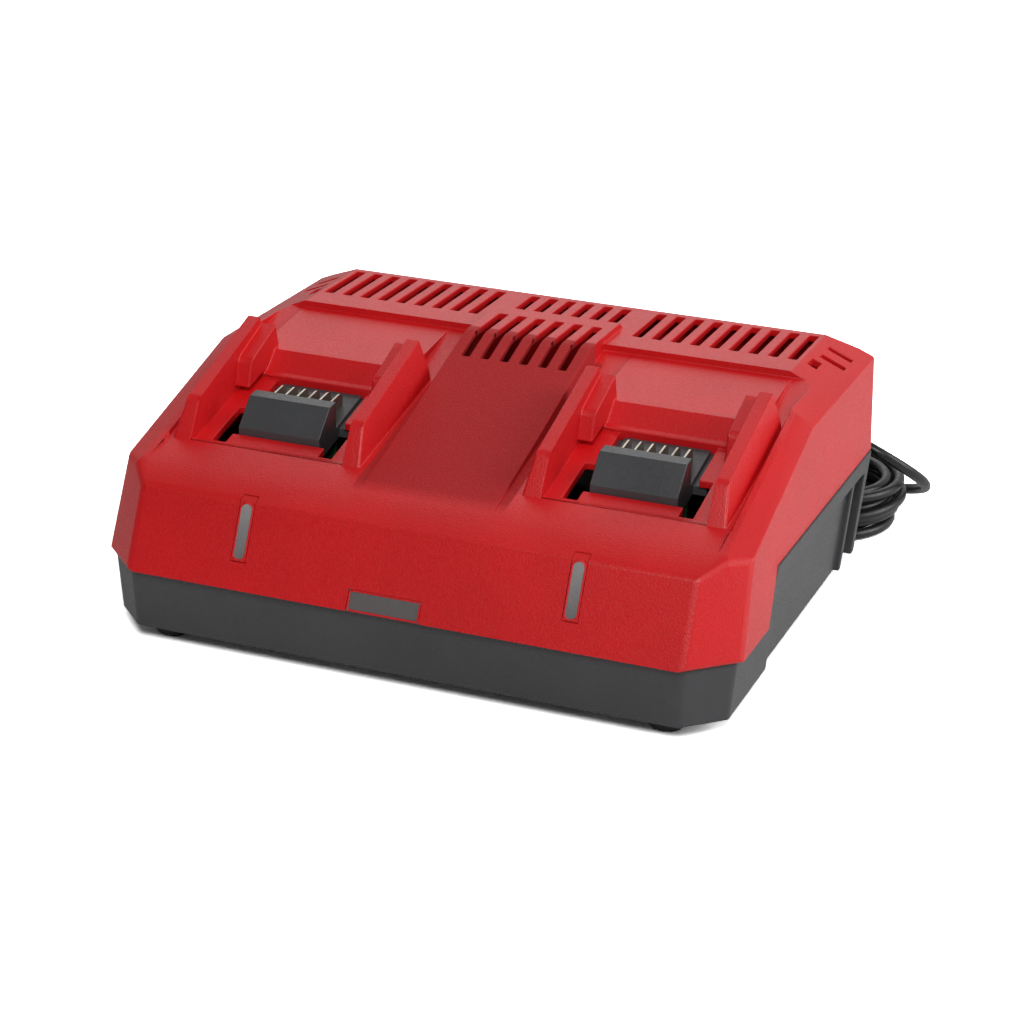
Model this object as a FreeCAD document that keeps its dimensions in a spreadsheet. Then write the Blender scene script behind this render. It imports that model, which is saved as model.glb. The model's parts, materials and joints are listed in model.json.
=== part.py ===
import FreeCAD, Part
import math
import os
import Sketcher

# A two-bay charger for slide-on tool batteries. Origin on the table under the middle of the housing,
# +X to the charger's right, +Y to its back, +Z up. Lengths are millimetres, angles degrees.

Vector = FreeCAD.Vector
doc = FreeCAD.newDocument("battery_charger")

SIZES = {
    # housing, outside
    "width": 273.0,
    "depth": 222.0,
    "belly": 6.5,              # underside above the table
    "top_height": 105.0,       # flat top above the table
    "corner": 18.0,            # bevel of the upright front corners
    "rear_corner": 9.0,
    "side_draft": 4.0,         # each side leans in by this much over the cover's height
    "seam_front": 32.0,        # seam between cover and base, front part
    "seam_rear": 54.5,         # and behind the step in the sides
    "seam_step": 54.0,         # from the front to the foot of that step
    "seam_step_run": 12.0,
    "crease_setback": 14.0,    # front face ends here
    "crease_height": 65.0,
    "deck_setback": 27.0,      # the sloping deck starts here
    "deck_height": 71.5,
    "slope_run": 108.0,        # deck edge to flat top, seen from above
    "valley_drop": 8.0,        # bays lie this much below the slope at its top
    "rear_lean": 5.0,
    "rear_bevel": 6.0,
    "end_bevel_in": 24.5,      # sloping facet at each end of the flat top
    "end_bevel_drop": 9.0,
    "strip": 11.5,             # raised strip along each side
    "strip_bevel": 4.0,
    "strip_bevel_drop": 2.6,
    "wall": 3.0,
    # hood between the bays
    "hood_width": 57.4,
    "hood_start": 40.0,        # from the front face
    "hood_top": 108.0,
    "hood_run": 100.0,
    "hood_back": 66.0,         # shoulder ends, from the middle
    "hood_shoulder": 4.0,
    "hood_bend": 14.0,         # radius
    # battery bays
    "bay_spacing": 154.6,
    "rail_outside": 79.8,      # over the rails' top edges
    "rail_top": 5.6,
    "rail_flare": 4.0,
    "rail_front": 43.0,        # foot of the rails, from the front face
    "rail_front_lean": 9.0,
    "rail_front_height": 91.0,
    "rail_rear_height": 112.0,
    "rail_length": 71.0,
    "lip_width": 6.5,
    "lip_length": 30.0,
    "lip_drop": 4.0,
    "floor_drop": 1.8,         # bay floor below the deck
    "back_rise": 9.8,
    "back_run": 11.0,
    "step_front": 44.0,        # flat top's front edge, behind the middle
    "step_depth": 3.0,
    # openings for the terminal blocks
    "opening_width": 42.0,
    "opening_front": 55.5,     # in front of the middle
    "opening_rear": 12.0,
    "latch_width": 6.0,
    "latch_front": 62.0,
    "latch_rear": 36.0,
    # air slots
    "slot_width": 4.2,
    "slot_pitch": 8.7,
    "slot_count": 9,
    "slot_first": 36.2,        # first slot's near side, from the middle
    "slot_front": 60.0,
    "slot_length": 36.0,
    "hood_slot_count": 6,
    "hood_slot_gap": 5.0,
    # terminal blocks
    "block_width": 36.8,
    "block_gap": 0.3,
    "block_nose": 3.0,
    "block_rise": 10.8,
    "block_ramp": 10.5,
    "block_ridge": 6.0,
    "block_flange": 3.0,
    "block_flange_thick": 4.0,
    "block_pit": 2.0,          # contact pit's floor above the underside of the bay floor
    "blade_count": 6,
    "blade_pitch": 5.2,
    "blade_thick": 0.8,
    "blade_length": 17.0,
    "blade_height": 8.0,
    # light pipes
    "pipe_spacing": 141.4,
    "pipe_width": 6.4,
    "pipe_start": 10.6,        # lower end above the seam
    "pipe_over": 3.4,          # reach past the crease
    "pipe_gap": 0.2,
    "pipe_sunk": 0.5,
    "pipe_deep": 4.2,
    "window_width": 31.0,
    "window_height": 8.0,
    "window_offset": -6.0,
    "window_deep": 15.0,
    # base
    "base_inset": 0.5,
    "base_taper": 5.0,
    "panel_depth": 1.5,
    "panel_front": -40.0,
    "panel_rear": 74.0,
    "panel_under_seam": 8.0,
    "grip_gap": 4.0,           # behind the panel
    "grip_rear": 91.0,
    "grip_sill": 6.0,
    "grip_depth": 2.2,
    "foot_radius": 7.3,
    "foot_inset_side": 29.0,
    "foot_inset_front": 12.0,
    "foot_socket": 1.5,
    # screws that hold cover and base
    "screw_shank": 1.9,
    "screw_head": 3.6,
    "screw_head_height": 2.4,
    "screw_clearance": 0.15,
    "post_wall": 2.6,
    "screw_side": 121.0,
    "screw_front": 80.0,
    "screw_back": 94.0,
    "screw_grip": 12.0,
    # inside
    "board_thick": 1.6,
    "board_lift": 7.0,
    "board_width": 216.0,
    "board_front": -96.0,
    "board_rear": 4.0,
    "fan_size": 60.0,
    "fan_thick": 15.0,
    "fan_bore": 28.5,
    "fan_y": 52.0,
    "fan_hub": 11.5,
    "fan_tip_gap": 0.9,
    "fan_blades": 7,
    "fan_shaft": 1.5,
    "fan_shaft_gap": 0.05,
    "fan_float": 0.4,
    "board_screw": 1.2,
    "transformer_x": -68.0,
    "transformer_y": -58.0,
    "transformer_width": 46.0,
    "transformer_depth": 36.0,
    "transformer_height": 38.0,
    "sink_x": 36.0,
    "sink_y": -30.0,
    "sink_length": 52.0,
    "sink_height": 30.0,
    "sink_fin": 6.5,
    "sink_fins": 8,
    "capacitor_x": 54.0,
    "capacitor_y": -70.0,
    "relay_x": 84.0,
    "indicator_setback": 18.0,
    "indicator_top": 62.0,
    "riser_back": 24.0,
    # mains cord
    "gland_x": 60.0,
    "gland_z": 30.0,
    "gland_neck": 5.5,
    "gland_length": 28.0,        # sleeve beyond the wall
    "gland_flange": 8.0,
    "gland_lip": 2.4,
    "gland_lean": 0.8,           # room for the leaning wall
    "gland_sleeve": 0.7,
    "gland_ribs": 5,
    "cord_diameter": 5.0,
    "coil_x": 103.0,
    "coil_y": 153.0,
    "coil_radius": 37.0,
    "coil_pitch": 6.2,
    "coil_layer": 6.0,
    "coil_turns": 1.375,         # in each of four layers
    "coil_start": 100.0,
    "plug_length": 42.0,
    "plug_width": 34.0,
    "plug_height": 17.0,
    "plug_boss": 6.0,
    "pin_radius": 2.4,
    "pin_length": 19.0,
    "pin_spacing": 19.0,
    "pin_root": 6.0,
    "pin_root_radius": 1.9,
}


class Size:
    """A length together with the sheet formula that gives it."""

    def __init__(self, value, text):
        self.value = value
        self.text = text

    def __add__(self, other):
        other = size(other)
        return Size(self.value + other.value, f"({self.text} + {other.text})")

    def __sub__(self, other):
        other = size(other)
        return Size(self.value - other.value, f"({self.text} - {other.text})")

    def __mul__(self, other):
        other = size(other)
        return Size(self.value * other.value, f"{self.text} * {other.text}")

    def __truediv__(self, other):
        other = size(other)
        return Size(self.value / other.value, f"{self.text} / {other.text}")

    def root(self):
        return Size(math.sqrt(self.value), f"sqrt({self.text})")

    def __neg__(self):
        return Size(-self.value, f"(0 - {self.text})")

    def __radd__(self, other):
        return size(other) + self

    def __rsub__(self, other):
        return size(other) - self

    def __rmul__(self, other):
        return size(other) * self


def size(number):
    if isinstance(number, Size):
        return number
    return Size(float(number), f"({float(number):.6f})")


def fill_sheet():
    sheet = doc.addObject("Spreadsheet::Sheet", "Sizes")
    for row, (name, value) in enumerate(SIZES.items(), start=1):
        sheet.set(f"A{row}", name)
        sheet.set(f"B{row}", str(value))
        sheet.setAlias(f"B{row}", name)
    doc.recompute()
    return {name: Size(float(value), f"Sizes.{name}") for name, value in SIZES.items()}


S = fill_sheet()

# Heights and places that several pieces share
HALF = S["width"] / 2
FRONT = -(S["depth"] / 2)
REAR = S["depth"] / 2
DECK_EDGE = FRONT + S["deck_setback"]
SLOPE_TOP = DECK_EDGE + S["slope_run"]
SLOPE = (S["top_height"] - S["deck_height"]) / S["slope_run"]
VALLEY = (S["top_height"] - S["valley_drop"] - S["deck_height"]) / S["slope_run"]
SEAM_STEP = FRONT + S["seam_step"]
FLOOR_TOP = S["belly"] + S["wall"]
RAIL_FOOT = FRONT + S["rail_front"]
BAY = S["bay_spacing"] / 2
BOARD_BOTTOM = FLOOR_TOP + S["board_lift"]
BOARD_TOP = BOARD_BOTTOM + S["board_thick"]


def slope_at(y):
    """Height of the housing's main slope at a depth y."""
    return S["deck_height"] + SLOPE * (y - DECK_EDGE)


def valley_at(y):
    """Height of the deck in the bays at a depth y."""
    return S["deck_height"] + VALLEY * (y - DECK_EDGE)


def facet_at(x):
    """Height of the sloping end facet at a distance x from the middle."""
    low = S["top_height"] - S["end_bevel_drop"]
    share = S["side_draft"] * (low - S["seam_front"]) / (S["top_height"] - S["seam_front"])
    return S["top_height"] - S["end_bevel_drop"] * (x - HALF + S["end_bevel_in"]) / (S["end_bevel_in"] - share)


def new_body(label):
    body = doc.addObject("PartDesign::Body", label)
    body.Label = label
    return body


def origin_plane(body, name):
    return next(f for f in body.Origin.OriginFeatures if f.Role == f"{name}_Plane")


def outline(body, name, plane, loops, lift=None):
    """A sketch of closed straight-sided loops. Two dimensions from the origin hold every corner."""
    sketch = body.newObject("Sketcher::SketchObject", name)
    sketch.AttachmentSupport = [(origin_plane(body, plane), "")]
    sketch.MapMode = "FlatFace"
    lines = []
    joins = []
    places = []
    for loop in loops:
        corners = [(size(u), size(v)) for u, v in loop]
        first = len(lines)
        count = len(corners)
        for i, (u, v) in enumerate(corners):
            after_u, after_v = corners[(i + 1) % count]
            lines.append(Part.LineSegment(Vector(u.value, v.value, 0), Vector(after_u.value, after_v.value, 0)))
            joins.append(Sketcher.Constraint("Coincident", first + i, 2, first + (i + 1) % count, 1))
            places.append(("DistanceX", first + i, u))
            places.append(("DistanceY", first + i, v))
    sketch.addGeometry(lines, False)
    sketch.addConstraint(joins + [Sketcher.Constraint(kind, -1, 1, line, 1, at.value) for kind, line, at in places])
    for number, (_, _, at) in enumerate(places, start=len(joins)):
        sketch.setExpression(f"Constraints[{number}]", at.text)
    if lift is not None:
        sketch.setExpression("AttachmentOffset.Base.z", size(lift).text)
    return sketch


def circles(body, name, plane, rings, lift=None):
    """A sketch of circles given as (u, v, radius)."""
    sketch = body.newObject("Sketcher::SketchObject", name)
    sketch.AttachmentSupport = [(origin_plane(body, plane), "")]
    sketch.MapMode = "FlatFace"
    for i, ring in enumerate(rings):
        u, v, radius = (size(value) for value in ring)
        sketch.addGeometry(Part.Circle(Vector(u.value, v.value, 0), Vector(0, 0, 1), radius.value), False)
        sketch.addConstraint(
            [
                Sketcher.Constraint("DistanceX", -1, 1, i, 3, u.value),
                Sketcher.Constraint("DistanceY", -1, 1, i, 3, v.value),
                Sketcher.Constraint("Radius", i, radius.value),
            ]
        )
        for step, at in enumerate((u, v, radius)):
            sketch.setExpression(f"Constraints[{3 * i + step}]", at.text)
    if lift is not None:
        sketch.setExpression("AttachmentOffset.Base.z", size(lift).text)
    return sketch


def feature(body, kind, name, sketch, length, direction=None, taper=None, back=False):
    """A pad or pocket; direction, where given, is the way it runs from the sketch."""
    made = body.newObject(f"PartDesign::{kind}", name)
    made.Profile = sketch
    made.Type = "Length"
    made.setExpression("Length", size(length).text)
    made.Reversed = back
    if direction is not None:
        made.UseCustomVector = True
        made.AlongSketchNormal = False
        for axis, part in zip("xyz", direction):
            made.setExpression(f"Direction.{axis}", size(part).text)
    if taper is not None:
        made.setExpression("TaperAngle", size(taper).text)
    return made


def pad(body, name, sketch, length, **how):
    return feature(body, "Pad", name, sketch, length, **how)


def pocket(body, name, sketch, length, **how):
    return feature(body, "Pocket", name, sketch, length, **how)


def copies(body, source, count, pitch, back=False):
    """Repeats a feature along X."""
    pattern = body.newObject("PartDesign::LinearPattern", source.Name + "_row")
    pattern.Originals = [source]
    axis = next(f for f in body.Origin.OriginFeatures if f.Role == "X_Axis")
    pattern.Direction = (axis, [""])
    pattern.Reversed = back
    pattern.setExpression("Occurrences", size(count).text)
    pattern.setExpression("Length", (pitch * (size(count) - 1)).text)
    body.Tip = pattern
    return pattern


def rectangle(u0, u1, v0, v1):
    return [(u0, v0), (u1, v0), (u1, v1), (u0, v1)]


def bevelled_plan(inset):
    """The housing seen from above, bevelled at its four upright corners."""
    x = HALF - inset
    front = FRONT + inset
    rear = REAR - inset
    cut = S["corner"] - inset * 0.586
    rear_cut = S["rear_corner"] - inset * 0.586
    return [
        (-x + cut, front), (x - cut, front), (x, front + cut), (x, rear - rear_cut),
        (x - rear_cut, rear), (-x + rear_cut, rear), (-x, rear - rear_cut), (-x, front + cut),
    ]


def side_profile(inset):
    """The cover seen from its side, above the stepped seam."""
    lean = S["crease_setback"] / (S["crease_height"] - S["seam_front"])
    front = FRONT + inset
    rear = REAR - inset
    return [
        (front, S["seam_front"]),
        (front + lean * (S["crease_height"] - S["seam_front"]), S["crease_height"] - inset * 0.4),
        (DECK_EDGE + inset * 0.4, S["deck_height"] - inset),
        (SLOPE_TOP, S["top_height"] - inset),
        (rear - S["rear_lean"] - S["rear_bevel"], S["top_height"] - inset),
        (rear - S["rear_lean"], S["top_height"] - S["rear_bevel"] - inset),
        (rear, S["seam_rear"]),
        (SEAM_STEP + S["seam_step_run"], S["seam_rear"]),
        (SEAM_STEP, S["seam_front"]),
    ]


def build_cover():
    body = new_body("top_cover")
    wall = S["wall"]
    high = S["top_height"] + 40
    far = S["depth"] * 2
    # The outer form: one long section, then the leaning sides, end facets and corners
    pad(body, "cover_block", outline(body, "cover_side", "YZ", [side_profile(size(0))], -HALF), S["width"])
    seam = S["seam_front"]
    top = S["top_height"]
    lean_in = S["side_draft"]
    facet_low = top - S["end_bevel_drop"]
    facet_in = HALF - lean_in * (facet_low - seam) / (top - seam)
    ends = [
        [
            (side * HALF, seam), (side * facet_in, facet_low), (side * (HALF - S["end_bevel_in"]), top),
            (side * (HALF - S["end_bevel_in"]), high), (side * (HALF + 20), high), (side * (HALF + 20), seam),
        ]
        for side in (1, -1)
    ]
    pocket(body, "cover_ends", outline(body, "end_outline", "XZ", ends, -far / 2), far, direction=(0, -1, 0))
    corner = S["corner"]
    lean = S["crease_setback"] / (S["crease_height"] - S["seam_front"])
    wedges = [
        [(side * (HALF + 9), FRONT - 9), (side * (HALF - corner - 9), FRONT - 9), (side * (HALF + 9), FRONT + corner + 9)]
        for side in (1, -1)
    ]
    pocket(body, "cover_corners", outline(body, "corner_outline", "XY", wedges, seam), 160, direction=(0, lean, 1))
    back = S["rear_corner"]
    wedges = [
        [(side * (HALF + 9), REAR + 9), (side * (HALF - back - 9), REAR + 9), (side * (HALF + 9), REAR - back - 9)]
        for side in (1, -1)
    ]
    pocket(body, "rear_corners", outline(body, "rear_outline", "XY", wedges, seam), 160, direction=(0, 0, 1))
    # The strip along each side is bevelled on its outer edge, along the slope
    start = DECK_EDGE - 40
    rise = slope_at(start)
    edge = HALF - lean_in * 0.9
    bevels = [
        [
            (side * (edge - S["strip_bevel"] * 2), rise), (side * (edge + 6), rise - S["strip_bevel_drop"] * 2),
            (side * (edge + 6), rise + 30), (side * (edge - S["strip_bevel"] * 2), rise + 30),
        ]
        for side in (1, -1)
    ]
    pocket(body, "strip_bevels", outline(body, "bevel_outline", "XZ", bevels, -start), 175, direction=(0, 1, SLOPE))
    build_bays(body)
    build_hood(body)
    hollow_cover(body)
    add_posts(body)
    open_cover(body)
    cut_slots(body)
    return body


def build_bays(body):
    """Two sunken bays, each with a pair of leaning rails, a backrest and a floor."""
    high = S["top_height"] + 30
    valley_end = S["step_front"] - 22
    valley = [
        (DECK_EDGE, S["deck_height"]),
        (valley_end, valley_at(valley_end)),
        (S["step_front"], S["top_height"] - S["step_depth"]),
        (S["step_front"], high),
        (DECK_EDGE, high),
    ]
    strip_edge = HALF - S["side_draft"] * 0.8 - S["strip"]
    hood_edge = S["hood_width"] / 2
    width = strip_edge - hood_edge
    for side, from_x in (("right", hood_edge), ("left", -strip_edge)):
        sketch = outline(body, f"{side}_valley_outline", "YZ", [valley], from_x)
        pocket(body, f"{side}_valley", sketch, width, back=True)
    rails = []
    outside = S["rail_outside"] / 2
    inside = outside - S["rail_top"]
    run = S["rail_length"] - S["rail_front_lean"]
    rise = (S["rail_rear_height"] - S["rail_front_height"]) / run
    crown = S["rail_front_height"] - rise * S["rail_front_lean"]
    root = S["deck_height"] - 6
    for bay in (1, -1):
        for side in (1, -1):
            centre = bay * BAY
            rails.append(
                [
                    (centre + side * inside, root), (centre + side * inside, crown),
                    (centre + side * outside, crown), (centre + side * (outside + S["rail_flare"]), root),
                ]
            )
    along = (rise * rise + 1).root() * S["rail_length"]
    pad(body, "rails", outline(body, "rail_outline", "XZ", rails, -RAIL_FOOT), along, direction=(0, 1, rise))
    # The ends of the rails lean: the front ones back, the rear ones forward
    foot = valley_at(RAIL_FOOT)
    lean = S["rail_front_lean"] / (S["rail_front_height"] - foot)
    tall = high - foot
    rear = RAIL_FOOT + S["rail_length"]
    tail = valley_at(rear) + S["lip_drop"]
    fronts = [
        [(RAIL_FOOT - 3, foot), (RAIL_FOOT, foot), (RAIL_FOOT + lean * tall, high), (RAIL_FOOT - 3, high)],
        [(rear + 3, tail), (rear, tail), (rear - (high - tail) * 0.35, high), (rear + 3, high)],
    ]
    reach = outside + S["rail_flare"] + 1
    for name, centre in (("right", BAY), ("left", -BAY)):
        sketch = outline(body, f"{name}_rail_end_outline", "YZ", fronts, centre - reach)
        pocket(body, f"{name}_rail_ends", sketch, reach * 2, back=True)
    # Backrest between the rails, behind the terminal opening
    back_foot = -S["opening_rear"]
    floor = valley_at(back_foot) - S["floor_drop"]
    shelf = [
        (back_foot, floor - 4),
        (back_foot, floor),
        (back_foot + S["back_run"], floor + S["back_rise"]),
        (S["step_front"], S["top_height"] - S["step_depth"]),
        (S["step_front"], floor - 4),
    ]
    lip_front = rear - S["lip_length"]
    lip_back = rear - 3
    lip_rise = S["rail_front_height"] + rise * (lip_front - RAIL_FOOT - S["rail_front_lean"]) - S["lip_drop"]
    lip_rear = S["rail_front_height"] + rise * (lip_back - RAIL_FOOT - S["rail_front_lean"]) - S["lip_drop"]
    lip = [
        (lip_front, valley_at(lip_front) - 2),
        (lip_front + 4, lip_rise),
        (lip_back, lip_rear),
        (lip_back + 5, valley_at(lip_back) - 2),
    ]
    for name, centre in (("right", BAY), ("left", -BAY)):
        sketch = outline(body, f"{name}_backrest_outline", "YZ", [shelf], centre - inside - 1)
        pad(body, f"{name}_backrest", sketch, inside * 2 + 2)
        for end, from_x in (("inner", centre - inside - 0.5), ("outer", centre + inside - S["lip_width"])):
            sketch = outline(body, f"{name}_{end}_lip_outline", "YZ", [lip], from_x)
            pad(body, f"{name}_{end}_lip", sketch, S["lip_width"] + 0.5)
    # Floor between the rails, a little below the deck
    begin = RAIL_FOOT + 1
    hollowed = [
        (begin, valley_at(begin)),
        (begin + 4, valley_at(begin + 4) - S["floor_drop"]),
        (back_foot, floor),
        (back_foot, floor + S["floor_drop"] + 1),
        (begin, valley_at(begin) + 1),
    ]
    for name, centre in (("right", BAY), ("left", -BAY)):
        sketch = outline(body, f"{name}_floor_outline", "YZ", [hollowed], centre - inside)
        pocket(body, f"{name}_floor", sketch, inside * 2, back=True)


def hood_profile(inset):
    start = FRONT + S["hood_start"]
    bend = start + S["hood_run"]
    climb = (S["hood_top"] - valley_at(start)) / S["hood_run"]
    return [
        (start + inset, valley_at(start) + climb * inset - inset - 0.01),
        (bend - inset * 0.2, S["hood_top"] - inset),
        (S["hood_back"] - inset * 2, S["hood_top"] - inset),
    ]


def build_hood(body):
    """The panel between the bays, which rises to a shoulder in front of the rear slots."""
    start, bend, shoulder = hood_profile(size(0))
    section = [
        start,
        bend,
        shoulder,
        (S["hood_back"] + S["hood_shoulder"], S["top_height"]),
        (S["hood_back"] + S["hood_shoulder"], S["top_height"] - 20),
        (start[0], start[1] - 4),
    ]
    half = S["hood_width"] / 2
    hood = pad(body, "hood", outline(body, "hood_outline", "YZ", [section], -half), half * 2)
    doc.recompute()
    bend_y = bend[0].value
    top = S["hood_top"].value
    found = []
    for number, edge in enumerate(hood.Shape.Edges, start=1):
        box = edge.BoundBox
        across = box.XLength > 2 * half.value - 1 and abs(box.ZMax - top) < 0.01 and abs(box.YMax - bend_y) < 0.01
        if across and box.YLength < 0.01:
            found.append(f"Edge{number}")
    blend = body.newObject("PartDesign::Fillet", "hood_bend")
    blend.Base = (hood, found)
    blend.setExpression("Radius", S["hood_bend"].text)
    doc.recompute()


def hollow_cover(cover):
    """The inside: low under the bays, high under the slots and the hood."""
    body = new_body("cover_inside")
    wall = S["wall"]
    seam = S["seam_front"] - 1
    top = S["top_height"]
    under = wall + S["floor_drop"]
    chamber = S["slot_front"] - 4
    level = S["step_front"] - 22
    low = [
        (FRONT + wall * 1.1, seam),
        (FRONT + S["crease_setback"] + wall * 0.6, S["crease_height"] - wall * 1.2),
        (DECK_EDGE + wall * 0.4, valley_at(DECK_EDGE + wall * 0.4) - under),
        (level, valley_at(level) - under),
        (REAR - S["rear_lean"] - wall, valley_at(level) - under),
        (REAR - wall, seam),
    ]
    inner = HALF - S["side_draft"] - wall
    pad(body, "inside_low", outline(body, "inside_outline", "YZ", [low], -inner), inner * 2)
    lean = S["crease_setback"] / (S["crease_height"] - S["seam_front"])
    corner = S["corner"] + wall * 1.5
    wedges = [
        [(side * (HALF + 9), FRONT - 9), (side * (HALF - corner - 9), FRONT - 9), (side * (HALF + 9), FRONT + corner + 9)]
        for side in (1, -1)
    ]
    pocket(body, "inside_corners", outline(body, "inside_corner_outline", "XY", wedges, seam), 160, direction=(0, lean, 1))
    facet_low = top - S["end_bevel_drop"]
    bevel_in = HALF - S["end_bevel_in"] - wall * 0.3
    high = [
        (-inner, facet_low - 22), (inner, facet_low - 22), (inner, facet_low - wall * 1.2),
        (bevel_in, top - wall), (-bevel_in, top - wall), (-inner, facet_low - wall * 1.2),
    ]
    deep = REAR - S["rear_lean"] - S["rear_bevel"] - chamber
    pad(body, "slot_chamber", outline(body, "chamber_outline", "XZ", [high], -chamber), deep, back=True)
    start, bend, shoulder = hood_profile(wall)
    ridge = [
        (start[0] + 14, valley_at(start[0] + 14) - under - 1),
        (start[0] + 14, start[1] + 1),
        bend,
        shoulder,
        (chamber + 2, top - wall),
        (chamber + 2, valley_at(level) - under - 1),
    ]
    half = S["hood_width"] / 2 - wall
    pad(body, "hood_hollow", outline(body, "hood_hollow_outline", "YZ", [ridge], -half), half * 2)
    hollow = cover.newObject("PartDesign::Boolean", "cover_hollow")
    hollow.Type = "Cut"
    hollow.setObjects([body])


def open_cover(body):
    """Terminal openings with their latch pockets, and the holes of the light pipes."""
    top = S["top_height"]
    half = S["opening_width"] / 2
    latch = half + S["latch_width"]
    mouths = []
    for bay in (-1, 1):
        centre = bay * BAY
        mouths.append(
            [
                (centre - half, -S["opening_front"]), (centre + half, -S["opening_front"]),
                (centre + half, -S["latch_front"]), (centre + latch, -S["latch_front"]),
                (centre + latch, -S["latch_rear"]), (centre + half, -S["latch_rear"]),
                (centre + half, -S["opening_rear"]), (centre - half, -S["opening_rear"]),
                (centre - half, -S["latch_rear"]), (centre - latch, -S["latch_rear"]),
                (centre - latch, -S["latch_front"]), (centre - half, -S["latch_front"]),
            ]
        )
    pocket(body, "terminal_mouths", outline(body, "mouth_outline", "XY", mouths, top), 40)
    for name, centre in (("right", S["pipe_spacing"] / 2), ("left", -S["pipe_spacing"] / 2)):
        half = S["pipe_width"] / 2 + S["pipe_gap"]
        sketch = outline(body, f"{name}_pipe_hole_outline", "YZ", [pipe_profile(S["pipe_gap"], size(3))], centre - half)
        pocket(body, f"{name}_pipe_hole", sketch, half * 2, back=True)
    half = S["window_width"] / 2 + S["pipe_gap"]
    tall = S["window_height"] + S["pipe_gap"]
    seam = S["seam_front"]
    window = rectangle(S["window_offset"] - half, S["window_offset"] + half, seam - 1, seam + tall)
    pocket(body, "window_hole", outline(body, "window_hole_outline", "XZ", [window], -FRONT + 1), S["window_deep"])


def cut_slots(body):
    """Air slots: a bank each side, short ones on the end facets and two sets on the hood."""
    top = S["top_height"]
    cut = S["wall"] * 2 + 2
    slot_rear = S["slot_front"] + S["slot_length"]
    for name, side in (("right", 1), ("left", -1)):
        near = side * S["slot_first"]
        slot = rectangle(near, near + side * S["slot_width"], S["slot_front"], slot_rear)
        first = pocket(body, f"{name}_slot", outline(body, f"{name}_slot_outline", "XY", [slot], top + 1), cut)
        copies(body, first, S["slot_count"], S["slot_pitch"], back=side < 0)
    stub = S["slot_first"] + S["slot_pitch"] * S["slot_count"]
    facet = HALF - S["end_bevel_in"] + S["slot_width"]
    ends = []
    for side in (1, -1):
        ends.append(rectangle(side * stub, side * (stub + S["slot_width"]), S["slot_front"], S["slot_front"] + 9))
        for back in (14.0, 26.0):
            at = S["slot_front"] + back
            ends.append(rectangle(side * facet, side * (facet + 11), at, at + S["slot_width"]))
    pocket(body, "end_slots", outline(body, "end_slot_outline", "XY", ends, top + 1), cut + S["end_bevel_drop"])
    spread = S["slot_pitch"] * (S["hood_slot_count"] - 1) / 2 + S["slot_width"] / 2
    bend = FRONT + S["hood_start"] + S["hood_run"]
    split = S["slot_front"] + 7
    rear = rectangle(-spread, -spread + S["slot_width"], split, slot_rear)
    front = rectangle(-spread, -spread + S["slot_width"], bend - 18, split - S["hood_slot_gap"] - 6)
    first = pocket(body, "hood_rear_slot", outline(body, "hood_rear_slot_outline", "XY", [rear], top + 4), cut + 3)
    copies(body, first, S["hood_slot_count"], S["slot_pitch"])
    first = pocket(body, "hood_front_slot", outline(body, "hood_front_slot_outline", "XY", [front], top + 5), 20)
    copies(body, first, S["hood_slot_count"], S["slot_pitch"])


def front_at(z):
    """Depth of the leaning front face at a height z."""
    return FRONT + S["crease_setback"] / (S["crease_height"] - S["seam_front"]) * (z - S["seam_front"])


def pipe_profile(grow, out):
    """A bay's light pipe from its side: up the front face and over the crease."""
    low = S["seam_front"] + S["pipe_start"] - grow
    crease_y = FRONT + S["crease_setback"]
    crease_z = S["crease_height"]
    band = (S["deck_height"] - crease_z) / (S["deck_setback"] - S["crease_setback"])
    over = crease_y + S["pipe_over"] + grow
    deep = S["pipe_deep"] + grow
    return [
        (front_at(low) - out, low),
        (front_at(crease_z) - out, crease_z + out * 0.5),
        (over, crease_z + band * (over - crease_y) + out),
        (over, crease_z - deep),
        (front_at(low) + deep, low),
    ]


def add_posts(body):
    """Posts that the housing screws bite into."""
    radius = S["screw_shank"] + S["post_wall"]
    spots = [(side * S["screw_side"], y) for side in (1, -1) for y in (-S["screw_front"], S["screw_back"])]
    seam = {0: S["seam_front"], 1: S["seam_rear"]}
    for number, (x, y) in enumerate(spots):
        low = seam[number % 2]
        top = valley_at(y) - S["wall"] if number % 2 == 0 else facet_at(S["screw_side"] + radius) - 1
        pad(body, f"post_{number + 1}", circles(body, f"post_circle_{number + 1}", "XY", [(x, y, radius)], low), top - low)
        hole = circles(body, f"pilot_circle_{number + 1}", "XY", [(x, y, S["screw_shank"] + S["screw_clearance"])], low)
        pocket(body, f"pilot_{number + 1}", hole, S["screw_grip"], back=True)


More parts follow.
